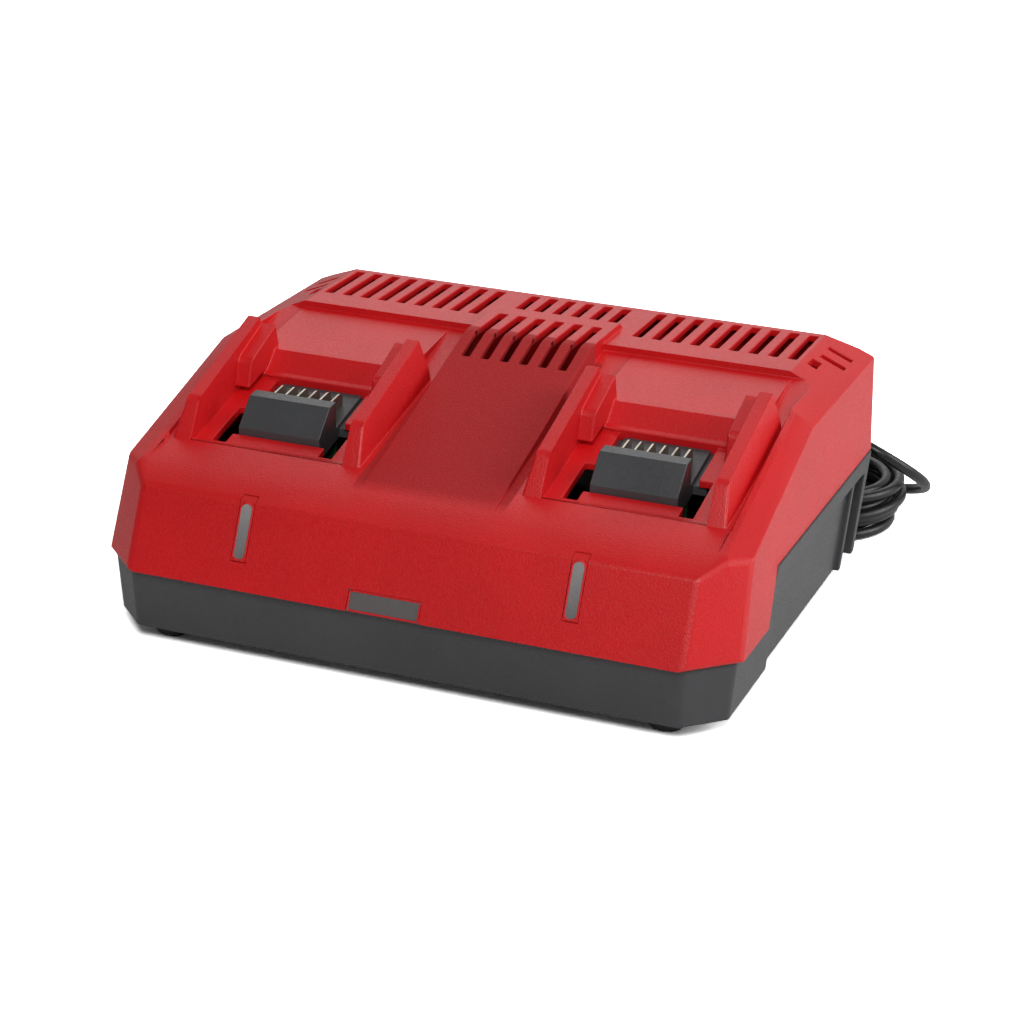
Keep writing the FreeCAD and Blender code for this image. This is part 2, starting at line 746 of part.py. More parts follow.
def build_base():
    """The lower housing: a tray with posts, sockets for the feet and an air inlet under the fan."""
    body = new_body("base_cover")
    seam = S["seam_rear"]
    deep = seam - S["belly"]
    sketch = outline(body, "base_plan", "XY", [bevelled_plan(S["base_inset"])], seam)
    pad(body, "base_block", sketch, deep, taper=-S["base_taper"], back=True)
    above = [
        (FRONT - 5, S["seam_front"]), (SEAM_STEP, S["seam_front"]), (SEAM_STEP + S["seam_step_run"], seam),
        (SEAM_STEP + S["seam_step_run"], seam + 5), (FRONT - 5, seam + 5),
    ]
    sketch = outline(body, "base_seam_outline", "YZ", [above], -HALF - 2)
    pocket(body, "base_seam", sketch, S["width"] + 4, back=True)
    inset = S["base_inset"] + S["wall"]
    sketch = outline(body, "base_inside_plan", "XY", [bevelled_plan(inset)], seam)
    pocket(body, "base_inside", sketch, seam - FLOOR_TOP, taper=-S["base_taper"])
    add_base_panels(body)
    radius = S["screw_shank"] + S["post_wall"] + 0.6
    bore = S["screw_shank"] + S["screw_clearance"]
    head = S["screw_head"] + S["screw_clearance"]
    for number, (x, y) in enumerate(screw_spots()):
        rim = S["seam_front"] if number % 2 == 0 else seam
        ring = circles(body, f"base_post_circle_{number + 1}", "XY", [(x, y, radius)], S["belly"])
        pad(body, f"base_post_{number + 1}", ring, rim - S["belly"])
        ring = circles(body, f"base_bore_circle_{number + 1}", "XY", [(x, y, bore)], S["belly"])
        pocket(body, f"base_bore_{number + 1}", ring, rim - S["belly"], back=True)
        ring = circles(body, f"base_head_circle_{number + 1}", "XY", [(x, y, head)], S["belly"])
        pocket(body, f"base_head_{number + 1}", ring, S["screw_head_height"] + 1, back=True)
    for number, (x, y) in enumerate(board_spots()):
        ring = circles(body, f"board_post_circle_{number + 1}", "XY", [(x, y, 3.6)], FLOOR_TOP - 0.5)
        pad(body, f"board_post_{number + 1}", ring, S["board_lift"] + 0.5)
        ring = circles(body, f"board_pilot_circle_{number + 1}", "XY", [(x, y, 1.35)], BOARD_BOTTOM)
        pocket(body, f"board_pilot_{number + 1}", ring, 6)
    rings = [(x, y, S["foot_radius"] + 0.1) for x, y in foot_spots()]
    pocket(body, "foot_sockets", circles(body, "foot_socket_circles", "XY", rings, S["belly"]), S["foot_socket"], back=True)
    pitch = 7.5
    half = S["fan_bore"] * 0.8
    inlets = [
        rectangle(step * pitch - 1.8, step * pitch + 1.8, S["fan_y"] - half, S["fan_y"] + half) for step in range(-3, 4)
    ]
    pocket(body, "air_inlet", outline(body, "air_inlet_outline", "XY", inlets, S["belly"] - 1), S["wall"] + 2, back=True)
    ring = circles(body, "gland_circle", "XZ", [(S["gland_x"], S["gland_z"], S["gland_neck"])], -(REAR - 12))
    pocket(body, "gland_hole", ring, 14, back=True)
    return body


def base_side_at(z):
    """Distance of the base's leaning side wall from the middle at a height z."""
    return HALF - S["base_inset"] - (S["seam_rear"] - z) * math.tan(math.radians(SIZES["base_taper"]))


def add_base_panels(body):
    """A shallow panel in each side, and a deeper grip in front of the rear corner."""
    high = S["seam_rear"] - S["panel_under_seam"]
    reach = 12
    recesses = (
        ("panel", S["belly"] - 1, S["panel_depth"], S["panel_front"], S["panel_rear"]),
        ("grip", S["belly"] + S["grip_sill"], S["grip_depth"], S["panel_rear"] + S["grip_gap"], S["grip_rear"]),
    )
    for name, low, deep, front, rear in recesses:
        loops = [
            [
                (side * (base_side_at(low) - deep), low), (side * (base_side_at(low) + reach), low),
                (side * (base_side_at(high) + reach), high), (side * (base_side_at(high) - deep), high),
            ]
            for side in (1, -1)
        ]
        sketch = outline(body, f"side_{name}_outline", "XZ", loops, -front)
        pocket(body, f"side_{name}s", sketch, rear - front, direction=(0, 1, 0))


def screw_spots():
    return [(side * S["screw_side"], y) for side in (1, -1) for y in (-S["screw_front"], S["screw_back"])]


def board_spots():
    x = S["board_width"] / 2 - 6
    return [(side * x, y) for side in (1, -1) for y in (S["board_front"] + 6, S["board_rear"] - 6)]


def foot_spots():
    x = HALF - S["foot_inset_side"]
    y = S["depth"] / 2 - S["foot_inset_front"] - S["foot_radius"]
    return [(side * x, end * y) for side in (1, -1) for end in (-1, 1)]


def box(label, x, y, z):
    """A block between pairs of coordinates."""
    made = doc.addObject("Part::Box", label)
    made.Label = label
    for axis, name, (low, high) in (("x", "Length", x), ("y", "Width", y), ("z", "Height", z)):
        made.setExpression(name, (size(high) - size(low)).text)
        made.setExpression(f"Placement.Base.{axis}", size(low).text)
    return made


def rod(label, x, y, z, radius, tall):
    """An upright cylinder."""
    made = doc.addObject("Part::Cylinder", label)
    made.Label = label
    made.setExpression("Radius", size(radius).text)
    made.setExpression("Height", size(tall).text)
    for axis, at in (("x", x), ("y", y), ("z", z)):
        made.setExpression(f"Placement.Base.{axis}", size(at).text)
    return made


def rod_along(label, x, y, z, radius, long):
    """A cylinder along the charger's depth."""
    made = rod(label, x, y, z, radius, long)
    made.Placement = FreeCAD.Placement(Vector(), FreeCAD.Rotation(Vector(1, 0, 0), -90))
    for axis, at in (("x", x), ("y", y), ("z", z)):
        made.setExpression(f"Placement.Base.{axis}", size(at).text)
    return made


def prism(label, x, y, z, radius, tall, along_y=False):
    """A twelve-sided bar, upright or along the charger's depth."""
    made = doc.addObject("Part::Prism", label)
    made.Label = label
    made.Polygon = 12
    made.setExpression("Circumradius", size(radius).text)
    made.setExpression("Height", size(tall).text)
    if along_y:
        made.Placement = FreeCAD.Placement(Vector(), FreeCAD.Rotation(Vector(1, 0, 0), -90))
    for axis, at in (("x", x), ("y", y), ("z", z)):
        made.setExpression(f"Placement.Base.{axis}", size(at).text)
    return made


def group(kind, label, pieces):
    """One object from several: Part::MultiFuse, or Part::Compound for separate solids."""
    made = doc.addObject(kind, label)
    made.Label = label
    if kind == "Part::Compound":
        made.Links = pieces
    else:
        made.Shapes = pieces
    return made


def cut(label, base, tool):
    made = doc.addObject("Part::Cut", label)
    made.Label = label
    made.Base = base
    made.Tool = tool
    return made


def ceiling_at(y):
    """Underside of the bay floor."""
    return valley_at(y) - S["floor_drop"] - S["wall"]


def build_block(name, centre):
    """The black terminal carrier that stands through its opening, with its flange under the floor."""
    body = new_body(f"terminal_block_{name}")
    nose = -S["opening_front"] + S["block_gap"]
    tail = -S["opening_rear"] - S["block_gap"]
    ridge = nose + S["block_ramp"]
    back = ridge + S["block_ridge"]
    floor = valley_at(nose) - S["floor_drop"]
    crown = floor + S["block_nose"] + S["block_rise"]
    pit = S["block_pit"]
    section = [
        (nose, ceiling_at(nose) - 2), (nose, floor + S["block_nose"]), (ridge, crown), (back, crown + 0.6),
        (back + 0.5, ceiling_at(back) + pit), (tail, ceiling_at(tail) + pit), (tail, ceiling_at(tail) - 2),
    ]
    half = S["block_width"] / 2
    pad(body, f"{name}_carrier", outline(body, f"{name}_carrier_outline", "YZ", [section], centre - half), half * 2)
    front = -S["opening_front"] - S["block_flange"]
    rear = -S["opening_rear"] + S["block_flange"]
    ear = -S["latch_rear"] + 1
    thick = S["block_flange_thick"]
    for part, begin, reach in (("tongue", front, half), ("ears", ear, S["opening_width"] / 2 + S["block_flange"])):
        plate = [(begin, ceiling_at(begin)), (rear, ceiling_at(rear)), (rear, ceiling_at(rear) - thick), (begin, ceiling_at(begin) - thick)]
        sketch = outline(body, f"{name}_{part}_outline", "YZ", [plate], centre - reach)
        pad(body, f"{name}_{part}", sketch, reach * 2)
    return body


def build_blades(name, centre):
    """Six upright contact blades behind the carrier's ridge."""
    start = -S["opening_front"] + S["block_gap"] + S["block_ramp"] + S["block_ridge"] + 1.2
    pit = ceiling_at(start) + S["block_pit"]
    end = start + S["blade_length"]
    foot = ceiling_at(end) + S["block_pit"]
    top = S["blade_height"]
    section = [
        (start, pit), (start, pit + top * 0.9), (start + S["blade_length"] * 0.2, pit + top),
        (start + S["blade_length"] * 0.5, pit + top), (start + S["blade_length"] * 0.8, foot + top * 0.75),
        (end, foot + top * 0.3), (end, foot),
    ]
    blades = []
    first = centre - S["blade_pitch"] * (SIZES["blade_count"] - 1) / 2 - S["blade_thick"] / 2
    for number in range(SIZES["blade_count"]):
        body = new_body(f"{name}_blade_{number + 1}")
        at = first + S["blade_pitch"] * number
        sketch = outline(body, f"{name}_blade_outline_{number + 1}", "YZ", [section], at)
        pad(body, f"{name}_blade_plate_{number + 1}", sketch, S["blade_thick"])
        blades.append(body)
    return group("Part::Compound", f"contact_blades_{name}", blades)


def build_pipe(name, centre):
    """A clear light pipe in the front face."""
    body = new_body(f"status_lens_{name}")
    half = S["pipe_width"] / 2
    section = pipe_profile(size(0), -S["pipe_sunk"])
    pad(body, f"{name}_lens", outline(body, f"{name}_lens_outline", "YZ", [section], centre - half), half * 2)
    return body


def build_window():
    body = new_body("power_lens")
    seam = S["seam_front"]
    tall = seam + S["window_height"]
    sunk = S["pipe_sunk"]
    deep = S["wall"] * 1.6
    section = [
        (front_at(seam) + sunk, seam), (front_at(tall) + sunk, tall), (front_at(tall) + deep, tall), (front_at(seam) + deep, seam),
    ]
    half = S["window_width"] / 2
    sketch = outline(body, "window_lens_outline", "YZ", [section], S["window_offset"] - half)
    pad(body, "window_lens", sketch, half * 2)
    return body


def build_fan():
    """The square fan frame on the base floor, over the inlet slots, with the rotor's pin."""
    y = S["fan_y"]
    half = S["fan_size"] / 2
    low = FLOOR_TOP
    square = box("fan_square", (-half, half), (y - half, y + half), (low, low + S["fan_thick"]))
    ring = cut("fan_ring", square, rod("fan_opening", 0, y, low - 1, S["fan_bore"], S["fan_thick"] + 2))
    arms = [
        box("fan_arm_across", (-half + 1, half - 1), (y - 2, y + 2), (low, low + 2)),
        box("fan_arm_along", (-2, 2), (y - half + 1, y + half - 1), (low, low + 2)),
        rod("fan_seat", 0, y, low, S["fan_hub"], 2),
        rod("fan_pin", 0, y, low, S["fan_shaft"], S["fan_thick"] - 0.5),
    ]
    return group("Part::MultiFuse", "fan_frame", [ring] + arms)


def build_rotor():
    """Hub and leaning leaves that turn on the frame's pin."""
    body = new_body("fan_rotor")
    low = FLOOR_TOP + 2.0 + S["fan_float"]
    tall = S["fan_thick"] - 2.0 - S["fan_float"] - 2.5
    hub = S["fan_hub"]
    pad(body, "rotor_hub", circles(body, "rotor_hub_circle", "XY", [(0, 0, hub)], low), tall)
    pitch = 4.6
    leaf = [(-pitch, low + 0.6), (-pitch + 1.4, low + 0.6), (pitch, low + tall - 0.6), (pitch - 1.4, low + tall - 0.6)]
    tip = S["fan_bore"] - S["fan_tip_gap"]
    sketch = outline(body, "rotor_leaf_outline", "XZ", [leaf], -(hub - 1.2))
    blade = pad(body, "rotor_leaf", sketch, tip - hub + 0.8, back=True)
    row = body.newObject("PartDesign::PolarPattern", "rotor_leaves")
    row.Originals = [blade]
    row.Axis = (next(f for f in body.Origin.OriginFeatures if f.Role == "Z_Axis"), [""])
    row.Angle = 360
    row.setExpression("Occurrences", S["fan_blades"].text)
    body.Tip = row
    bore = circles(body, "rotor_bore_circle", "XY", [(0, 0, S["fan_shaft"] + S["fan_shaft_gap"])], low - 1)
    pocket(body, "rotor_bore", bore, tall + 2, back=True)
    body.setExpression("Placement.Base.y", S["fan_y"].text)
    return body


def build_board():
    """The main circuit board on the base's four posts."""
    half = S["board_width"] / 2
    plate = box("board_plate", (-half, half), (S["board_front"], S["board_rear"]), (BOARD_BOTTOM, BOARD_TOP))
    holes = [
        rod(f"board_hole_{number + 1}", x, y, BOARD_BOTTOM - 1, S["board_screw"] + 0.2, S["board_thick"] + 2)
        for number, (x, y) in enumerate(board_spots())
    ]
    return cut("main_circuit_board", plate, group("Part::MultiFuse", "board_holes", holes))


def build_board_screws():
    screws = []
    for number, (x, y) in enumerate(board_spots()):
        shank = prism(f"board_screw_shank_{number + 1}", x, y, BOARD_TOP - 6.5, S["board_screw"], 6.6)
        head = prism(f"board_screw_head_{number + 1}", x, y, BOARD_TOP, S["board_screw"] * 2.1, 1.6)
        screws.append(group("Part::MultiFuse", f"board_screw_{number + 1}", [shank, head]))
    return group("Part::Compound", "board_screws", screws)


def build_housing_screws():
    """Four long screws from below that pull the cover onto the base."""
    screws = []
    for number, (x, y) in enumerate(screw_spots()):
        rim = S["seam_front"] if number % 2 == 0 else S["seam_rear"]
        seat = S["belly"] + S["screw_head_height"] + 1
        head = prism(f"screw_head_{number + 1}", x, y, seat - S["screw_head_height"], S["screw_head"], S["screw_head_height"])
        shank = prism(f"screw_shank_{number + 1}", x, y, seat - 0.1, S["screw_shank"], rim - seat + S["screw_grip"] - 1.9)
        screws.append(group("Part::MultiFuse", f"housing_screw_{number + 1}", [head, shank]))
    return group("Part::Compound", "housing_screws", screws)


def build_feet():
    """Four round rubber feet in their sockets."""
    feet = []
    for (x, y), name in zip(foot_spots(), ("front_right", "rear_right", "front_left", "rear_left")):
        foot = rod(f"foot_pad_{name}", x, y, 0, S["foot_radius"], S["belly"] + S["foot_socket"])
        edge = doc.addObject("Part::Chamfer", f"foot_{name}")
        edge.Label = f"foot_{name}"
        edge.Base = foot
        doc.recompute()
        rim = next(
            number for number, line in enumerate(foot.Shape.Edges, start=1)
            if line.BoundBox.ZLength < 0.001 and line.BoundBox.ZMin < 0.001
        )
        edge.Edges = [(rim, 1.0, 1.0)]
        feet.append(edge)
    return feet


def build_transformer():
    """The power transformer: an E-shaped core closed round its wound bobbin."""
    x = S["transformer_x"]
    y = S["transformer_y"]
    wide = S["transformer_width"] / 2
    deep = S["transformer_depth"] / 2
    high = S["transformer_height"]
    leg = wide * 0.25
    low = BOARD_TOP + 3
    block = box("core_block", (x - wide, x + wide), (y - deep * 0.5, y + deep * 0.5), (low, low + high))
    window = [
        box(f"core_window_{number + 1}", (x + side * leg, x + side * (wide - leg)), (y - deep, y + deep), (low + leg, low + high - leg))
        if side > 0
        else box(f"core_window_{number + 1}", (x - wide + leg, x - leg), (y - deep, y + deep), (low + leg, low + high - leg))
        for number, side in enumerate((1, -1))
    ]
    core = cut("transformer_core", block, group("Part::MultiFuse", "core_windows", window))
    gap = 0.2
    coil = box(
        "bobbin_block",
        (x - wide + leg + gap, x + wide - leg - gap), (y - deep, y + deep), (low + leg + gap, low + high - leg - gap),
    )
    bore = box("bobbin_bore", (x - leg - gap, x + leg + gap), (y - deep * 0.5 - gap, y + deep * 0.5 + gap), (low, low + high))
    winding = cut("transformer_winding", coil, bore)
    foot = box("transformer_base", (x - wide, x + wide), (y - deep, y + deep), (BOARD_TOP, low))
    return core, winding, foot


def build_heat_sink(name, x):
    """A finned aluminium bar that stands on the board."""
    body = new_body(f"heat_sink_{name}")
    y = S["sink_y"]
    long = S["sink_length"] / 2
    spine = rectangle(x - 1.5, x + 1.5, y - long, y + long)
    pad(body, f"{name}_spine", outline(body, f"{name}_spine_outline", "XY", [spine], BOARD_TOP), S["sink_height"])
    count = int(SIZES["sink_fins"])
    pitch = (S["sink_length"] - 1.6) / (count - 1)
    fins = [rectangle(x - S["sink_fin"], x + S["sink_fin"], y - long + pitch * i, y - long + pitch * i + 1.6) for i in range(count)]
    pad(body, f"{name}_fins", outline(body, f"{name}_fin_outline", "XY", fins, BOARD_TOP), S["sink_height"])
    return body


def build_capacitors():
    tall = [
        rod(f"input_capacitor_{number + 1}", S["capacitor_x"] + number * 26, S["capacitor_y"], BOARD_TOP, 11, 34)
        for number in range(2)
    ]
    small = [
        rod(f"output_capacitor_{number + 1}", S["capacitor_x"] - 4 + number * 16, S["capacitor_y"] + 24, BOARD_TOP, 6, 22)
        for number in range(3)
    ]
    return [group("Part::Compound", "input_capacitors", tall), group("Part::Compound", "output_capacitors", small)]


def build_indicator_board():
    """The small upright board behind the light pipes, with one lamp for each."""
    y = FRONT + S["indicator_setback"]
    half = S["pipe_spacing"] / 2 + 8
    plate = box("indicator_board", (-half, half), (y, y + S["board_thick"]), (BOARD_TOP, S["indicator_top"]))
    lamps = []
    places = ((S["pipe_spacing"] / 2, 55.0), (-S["pipe_spacing"] / 2, 55.0), (S["window_offset"], 36.0))
    for number, (x, z) in enumerate(places):
        lamps.append(box(f"lamp_{number + 1}", (x - 1.8, x + 1.8), (y - 2, y), (z - 1.8, z + 1.8)))
    return [plate, group("Part::Compound", "indicator_lamps", lamps)]


def build_riser(name, centre):
    """Upright board that carries the current from the main board to a terminal block."""
    y = -S["opening_front"] + S["riser_back"]
    top = ceiling_at(y) - S["block_flange_thick"]
    return box(f"terminal_riser_{name}", (centre - 15, centre + 15), (y, y + S["board_thick"]), (BOARD_TOP, top))


def build_relay(name, x):
    return box(f"charge_relay_{name}", (x - 10, x + 10), (-12, 3), (BOARD_TOP, BOARD_TOP + 19))


def build_gland():
    """The cord's strain relief: a square flange and neck in the rear wall and a tapered, ribbed sleeve."""
    x = S["gland_x"]
    z = S["gland_z"]
    back = gland_face()
    neck = S["gland_neck"]
    flange = S["gland_flange"]
    inner = back - S["wall"] - S["gland_lean"]
    outer = back + S["gland_lean"]
    pieces = [
        box("gland_inner_flange", (x - flange, x + flange), (inner - S["gland_lip"], inner), (z - flange, z + flange)),
        box("gland_outer_flange", (x - flange, x + flange), (outer, outer + S["gland_lip"]), (z - flange, z + flange)),
        rod_along("gland_neck_bar", x, inner, z, neck, outer - inner),
    ]
    begin = outer + S["gland_lip"]
    count = int(SIZES["gland_ribs"])
    pitch = (S["gland_length"] - S["gland_lean"] - S["gland_lip"]) / count
    core = S["cord_diameter"] / 2 + S["gland_sleeve"]
    pieces.append(prism("gland_core", x, begin, z, core, pitch * count, along_y=True))
    for number in range(count):
        radius = neck - (neck - core - S["gland_sleeve"]) * number / (count - 1)
        pieces.append(prism(f"gland_rib_{number + 1}", x, begin + pitch * number, z, radius, pitch * 0.6, along_y=True))
    return group("Part::MultiFuse", "cord_strain_relief", pieces)


def gland_face():
    """Depth of the base's leaning rear wall where the cord leaves."""
    return REAR - S["base_inset"] - (S["seam_rear"] - S["gland_z"]) * math.tan(math.radians(SIZES["base_taper"]))


def biarc(start, start_way, end, end_way):
    """Two arcs, smooth where they meet, from one point and direction to the next."""
    reach = end - start
    both = start_way + end_way
    a = 2 * (1 - start_way.dot(end_way))
    b = 2 * reach.dot(both)
    c = -reach.dot(reach)
    step = -c / b if abs(a) < 1e-9 else (-b + math.sqrt(b * b - 4 * a * c)) / (2 * a)
    middle = (start + start_way * step + end - end_way * step) * 0.5
    edges = []
    for origin, way, goal in ((start, start_way, middle), (end, -end_way, middle)):
        chord = goal - origin
        across = chord - way * chord.dot(way)
        if across.Length < 1e-7:
            edges.append((origin, goal, None))
            continue
        side = across.normalize()
        radius = chord.dot(chord) / (2 * chord.dot(side))
        centre = origin + side * radius
        half = ((origin - centre) + (goal - centre)).normalize() * abs(radius)
        edges.append((origin, goal, centre + half))
    first, second = edges
    made = []
    for origin, goal, between in (first, (second[1], second[0], second[2])):
        made.append(Part.LineSegment(origin, goal).toShape() if between is None else Part.Arc(origin, between, goal).toShape())
    return made


def rounded_route(points):
    """Straight runs joined by the largest arcs that the runs allow; prints the radii."""
    edges = []
    radii = []
    last = points[0]
    for before, corner, after in zip(points, points[1:], points[2:]):
        into = (corner - before).normalize()
        out = (after - corner).normalize()
        turn = into.getAngle(out)
        shorter = min((corner - before).Length, (after - corner).Length)
        trim = 0.45 * shorter
        radius = trim / math.tan(turn / 2)
        radii.append(radius)
        start = corner - into * trim
        end = corner + out * trim
        inward = (out - into).normalize()
        middle = corner + inward * (radius / math.cos(turn / 2) - radius)
        edges.append(Part.LineSegment(last, start).toShape())
        edges.append(Part.Arc(start, middle, end).toShape())
        last = end
    edges.append(Part.LineSegment(last, points[-1]).toShape())
    return edges, radii


def tube(label, edges):
    """A six-sided cord along a smooth path."""
    wire = Part.Wire(edges)
    start = wire.Edges[0].Vertexes[0].Point
    way = wire.Edges[0].tangentAt(wire.Edges[0].FirstParameter)
    if (wire.Edges[0].valueAt(wire.Edges[0].FirstParameter) - start).Length > 1e-6:
        start = wire.Edges[0].valueAt(wire.Edges[0].FirstParameter)
    radius = SIZES["cord_diameter"] / 2
    across = way.cross(Vector(0, 0, 1))
    if across.Length < 0.1:
        across = way.cross(Vector(1, 0, 0))
    across.normalize()
    up = across.cross(way)
    corners = []
    for number in range(CORD_SIDES):
        angle = math.tau * (number + 0.5) / CORD_SIDES
        corners.append(start + across * (radius * math.cos(angle)) + up * (radius * math.sin(angle)))
    ring = Part.Wire(Part.makePolygon(corners + corners[:1]).Edges)
    sweep = Part.BRepOffsetAPI.MakePipeShell(wire)
    sweep.add(ring)
    sweep.build()
    sweep.makeSolid()
    solid = sweep.shape()
    if solid.Volume < 0:
        solid.reverse()
    made = doc.addObject("Part::Feature", label)
    made.Label = label
    made.Shape = solid
    section = CORD_SIDES / 2 * math.sin(math.tau / CORD_SIDES) * radius * radius
    print(label, "length", round(wire.Length, 1), "volume over section times length", round(solid.Volume / section / wire.Length, 4))
    return made, wire


def coil_point(turns):
    """Centre of the coiled cord after a number of turns: in, up, out, up, in, up, out."""
    sweep = SIZES["coil_turns"]
    climb = 0.5
    stage = sweep + climb
    layer = min(int(turns // stage), 3)
    within = turns - layer * stage
    out = min(within, sweep) / sweep
    share = 1 - out if layer % 2 == 0 else out
    height = layer + max(0.0, within - sweep) / climb
    radius = SIZES["coil_radius"] - SIZES["coil_pitch"] * sweep * (1 - share)
    angle = 2 * math.pi * turns + math.radians(SIZES["coil_start"])
    low = SIZES["cord_diameter"] / 2 + 0.3
    return Vector(
        SIZES["coil_x"] + radius * math.cos(angle),
        SIZES["coil_y"] + radius * math.sin(angle),
        low + SIZES["coil_layer"] * height,
    )


def coil_way(turns):
    before = max(0.0, turns - 0.002)
    after = min(4 * SIZES["coil_turns"] + 1.5, turns + 0.002)
    return (coil_point(after) - coil_point(before)).normalize()


def build_coil():
    """The cord's loose coil: four layers that spiral out and in again."""
    total = 4 * SIZES["coil_turns"] + 1.5
    steps = round(total * 4)
    marks = [total * number / steps for number in range(steps + 1)]
    points = [coil_point(mark) for mark in marks]
    ways = [coil_way(mark) for mark in marks]
    edges = []
    for i in range(steps):
        edges += biarc(points[i], ways[i], points[i + 1], ways[i + 1])
    lead = SIZES["cord_diameter"]
    edges.insert(0, Part.LineSegment(points[0] - ways[0] * lead, points[0]).toShape())
    edges.append(Part.LineSegment(points[-1], points[-1] + ways[-1] * lead).toShape())
    made, wire = tube("cord_coil", edges)
    count = 900
    track = [coil_point(total * number / count) for number in range(count + 1)]
    near = min(
        (track[i] - track[j]).Length
        for i in range(0, count, 3) for j in range(i + int(count / total * 0.6), count, 2)
    )
    print("least gap of the coil to itself", round(near - SIZES["cord_diameter"], 2))
    return made, points[0] - ways[0] * lead, ways[0], points[-1] + ways[-1] * lead, ways[-1]


def build_lead(goal, way):
    """The stretch from the strain relief, over the coil and down round its right side."""
    start = Vector(SIZES["gland_x"], gland_face().value + SIZES["gland_length"], SIZES["gland_z"])
    points = [start] + [Vector(*spot) for spot in LEAD_ROUTE] + [goal - way * 24, goal]
    edges, radii = rounded_route(points)
    print("lead radii", [round(radius, 1) for radius in radii])
    return tube("cord_lead", edges)[0]


def build_tail(start, way):
    """The stretch from the top of the coil to the plug."""
    goal = Vector(*PLUG_ENTRY)
    points = [start, start + way * 20] + [Vector(*spot) for spot in TAIL_ROUTE] + [goal]
    edges, radii = rounded_route(points)
    print("tail radii", [round(radius, 1) for radius in radii])
    return tube("cord_tail", edges)[0]


def build_plug():
    """A two-pin mains plug that lies on the table, pins to the left."""
    x, y, z = PLUG_ENTRY
    body = new_body("plug_body")
    length = S["plug_length"]
    wide = S["plug_width"] / 2
    boss = S["plug_boss"]
    plan = [
        (0, -boss), (-length * 0.3, -boss - 0.8), (-length * 0.62, -wide), (-length, -wide),
        (-length, wide), (-length * 0.62, wide), (-length * 0.3, boss + 0.8), (0, boss),
    ]
    block = pad(body, "plug_block", outline(body, "plug_plan", "XY", [plan], -S["plug_height"] / 2), S["plug_height"])
    doc.recompute()
    flat = [
        f"Edge{number}" for number, edge in enumerate(block.Shape.Edges, start=1)
        if edge.BoundBox.ZLength < 0.001 and edge.BoundBox.XLength > 1
    ]
    soft = body.newObject("PartDesign::Fillet", "plug_rounding")
    soft.Base = (block, flat)
    soft.Radius = 3
    body.Placement = FreeCAD.Placement(Vector(x, y, z), FreeCAD.Rotation())
    sockets = [(side * S["pin_spacing"] / 2, 0, S["pin_root_radius"]) for side in (1, -1)]
    bore = circles(body, "pin_socket_circles", "YZ", sockets, -length)
    pocket(body, "pin_sockets", bore, S["pin_root"], back=True)
    pins = []
    for name, side in (("front", -1), ("back", 1)):
        pin = new_body(f"plug_pin_{name}")
        ring = circles(pin, f"pin_root_circle_{name}", "YZ", [(0, 0, S["pin_root_radius"])])
        pad(pin, f"pin_root_{name}", ring, S["pin_root"] + 1, back=True)
        ring = circles(pin, f"pin_circle_{name}", "YZ", [(0, 0, S["pin_radius"])], -S["pin_root"])
        pad(pin, f"pin_shaft_{name}", ring, S["pin_length"], back=True)
        at = Vector(x - SIZES["plug_length"] + SIZES["pin_root"], y + side * SIZES["pin_spacing"] / 2, z)
        pin.Placement = FreeCAD.Placement(at, FreeCAD.Rotation())
        pins.append(pin)
    return body, pins


CORD_SIDES = 6
# Route of the cord outside its coil, chosen by hand
LEAD_ROUTE = [
    (60.0, 152.0, 30.0),
    (76.0, 166.0, 38.0),
    (101.0, 158.0, 44.0),
    (124.0, 142.0, 42.0),
    (143.0, 148.0, 31.0),
    (150.0, 170.0, 16.0),
    (138.0, 190.0, 6.0),
]
TAIL_ROUTE = [
    (52.0, 178.0, 16.0),
    (30.0, 166.0, 10.0),
    (8.0, 160.0, 8.5),
]
PLUG_ENTRY = (-12.0, 160.0, 8.5)

cover = build_cover()
base = build_base()
pieces = [cover, base]
for name, side in (("right", 1), ("left", -1)):
    pieces.append(build_block(name, side * BAY))
    pieces.append(build_blades(name, side * BAY))
    pieces.append(build_pipe(name, side * S["pipe_spacing"] / 2))
    pieces.append(build_riser(name, side * BAY))
    pieces.append(build_heat_sink(name, side * S["sink_x"]))
    pieces.append(build_relay(name, side * S["relay_x"]))
pieces.append(build_window())
pieces += [build_fan(), build_rotor(), build_board(), build_board_screws(), build_housing_screws()]
pieces += build_feet()
pieces += list(build_transformer())
pieces += build_capacitors()
pieces += build_indicator_board()
pieces.append(build_gland())
coil, lead_end, lead_way, tail_start, tail_way = build_coil()
pieces.append(coil)
pieces.append(build_lead(lead_end, lead_way))
pieces.append(build_tail(tail_start, tail_way))
plug, pins = build_plug()
pieces += [plug] + pins
doc.recompute()
failed = [item.Name for item in doc.Objects if "Invalid" in item.State or "Error" in item.State]
failed += [piece.Label for piece in pieces if piece.Shape.isNull() or not piece.Shape.isValid()]
if failed:
    raise RuntimeError(f"not sound: {failed}")
os.makedirs("parts", exist_ok=True)
for piece in pieces:
    shape = piece.Shape
    print(piece.Label, len(shape.Solids), round(shape.Volume), shape.BoundBox)
    shape.exportStep(f"parts/{piece.Label}.step")
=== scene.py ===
# %% [markdown]
# # A two-bay battery charger
# The charger is a red moulded cover on a dark tray. Two bays with rails take the batteries, and a fan inside blows
# through the slots along the top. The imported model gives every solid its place, and this lesson dresses it: soft
# moulded edges, plastics with their grain, metal, rubber and a cord that lies on the table.

import json
import math

import bmesh
import bpy
from mathutils import Matrix, Vector


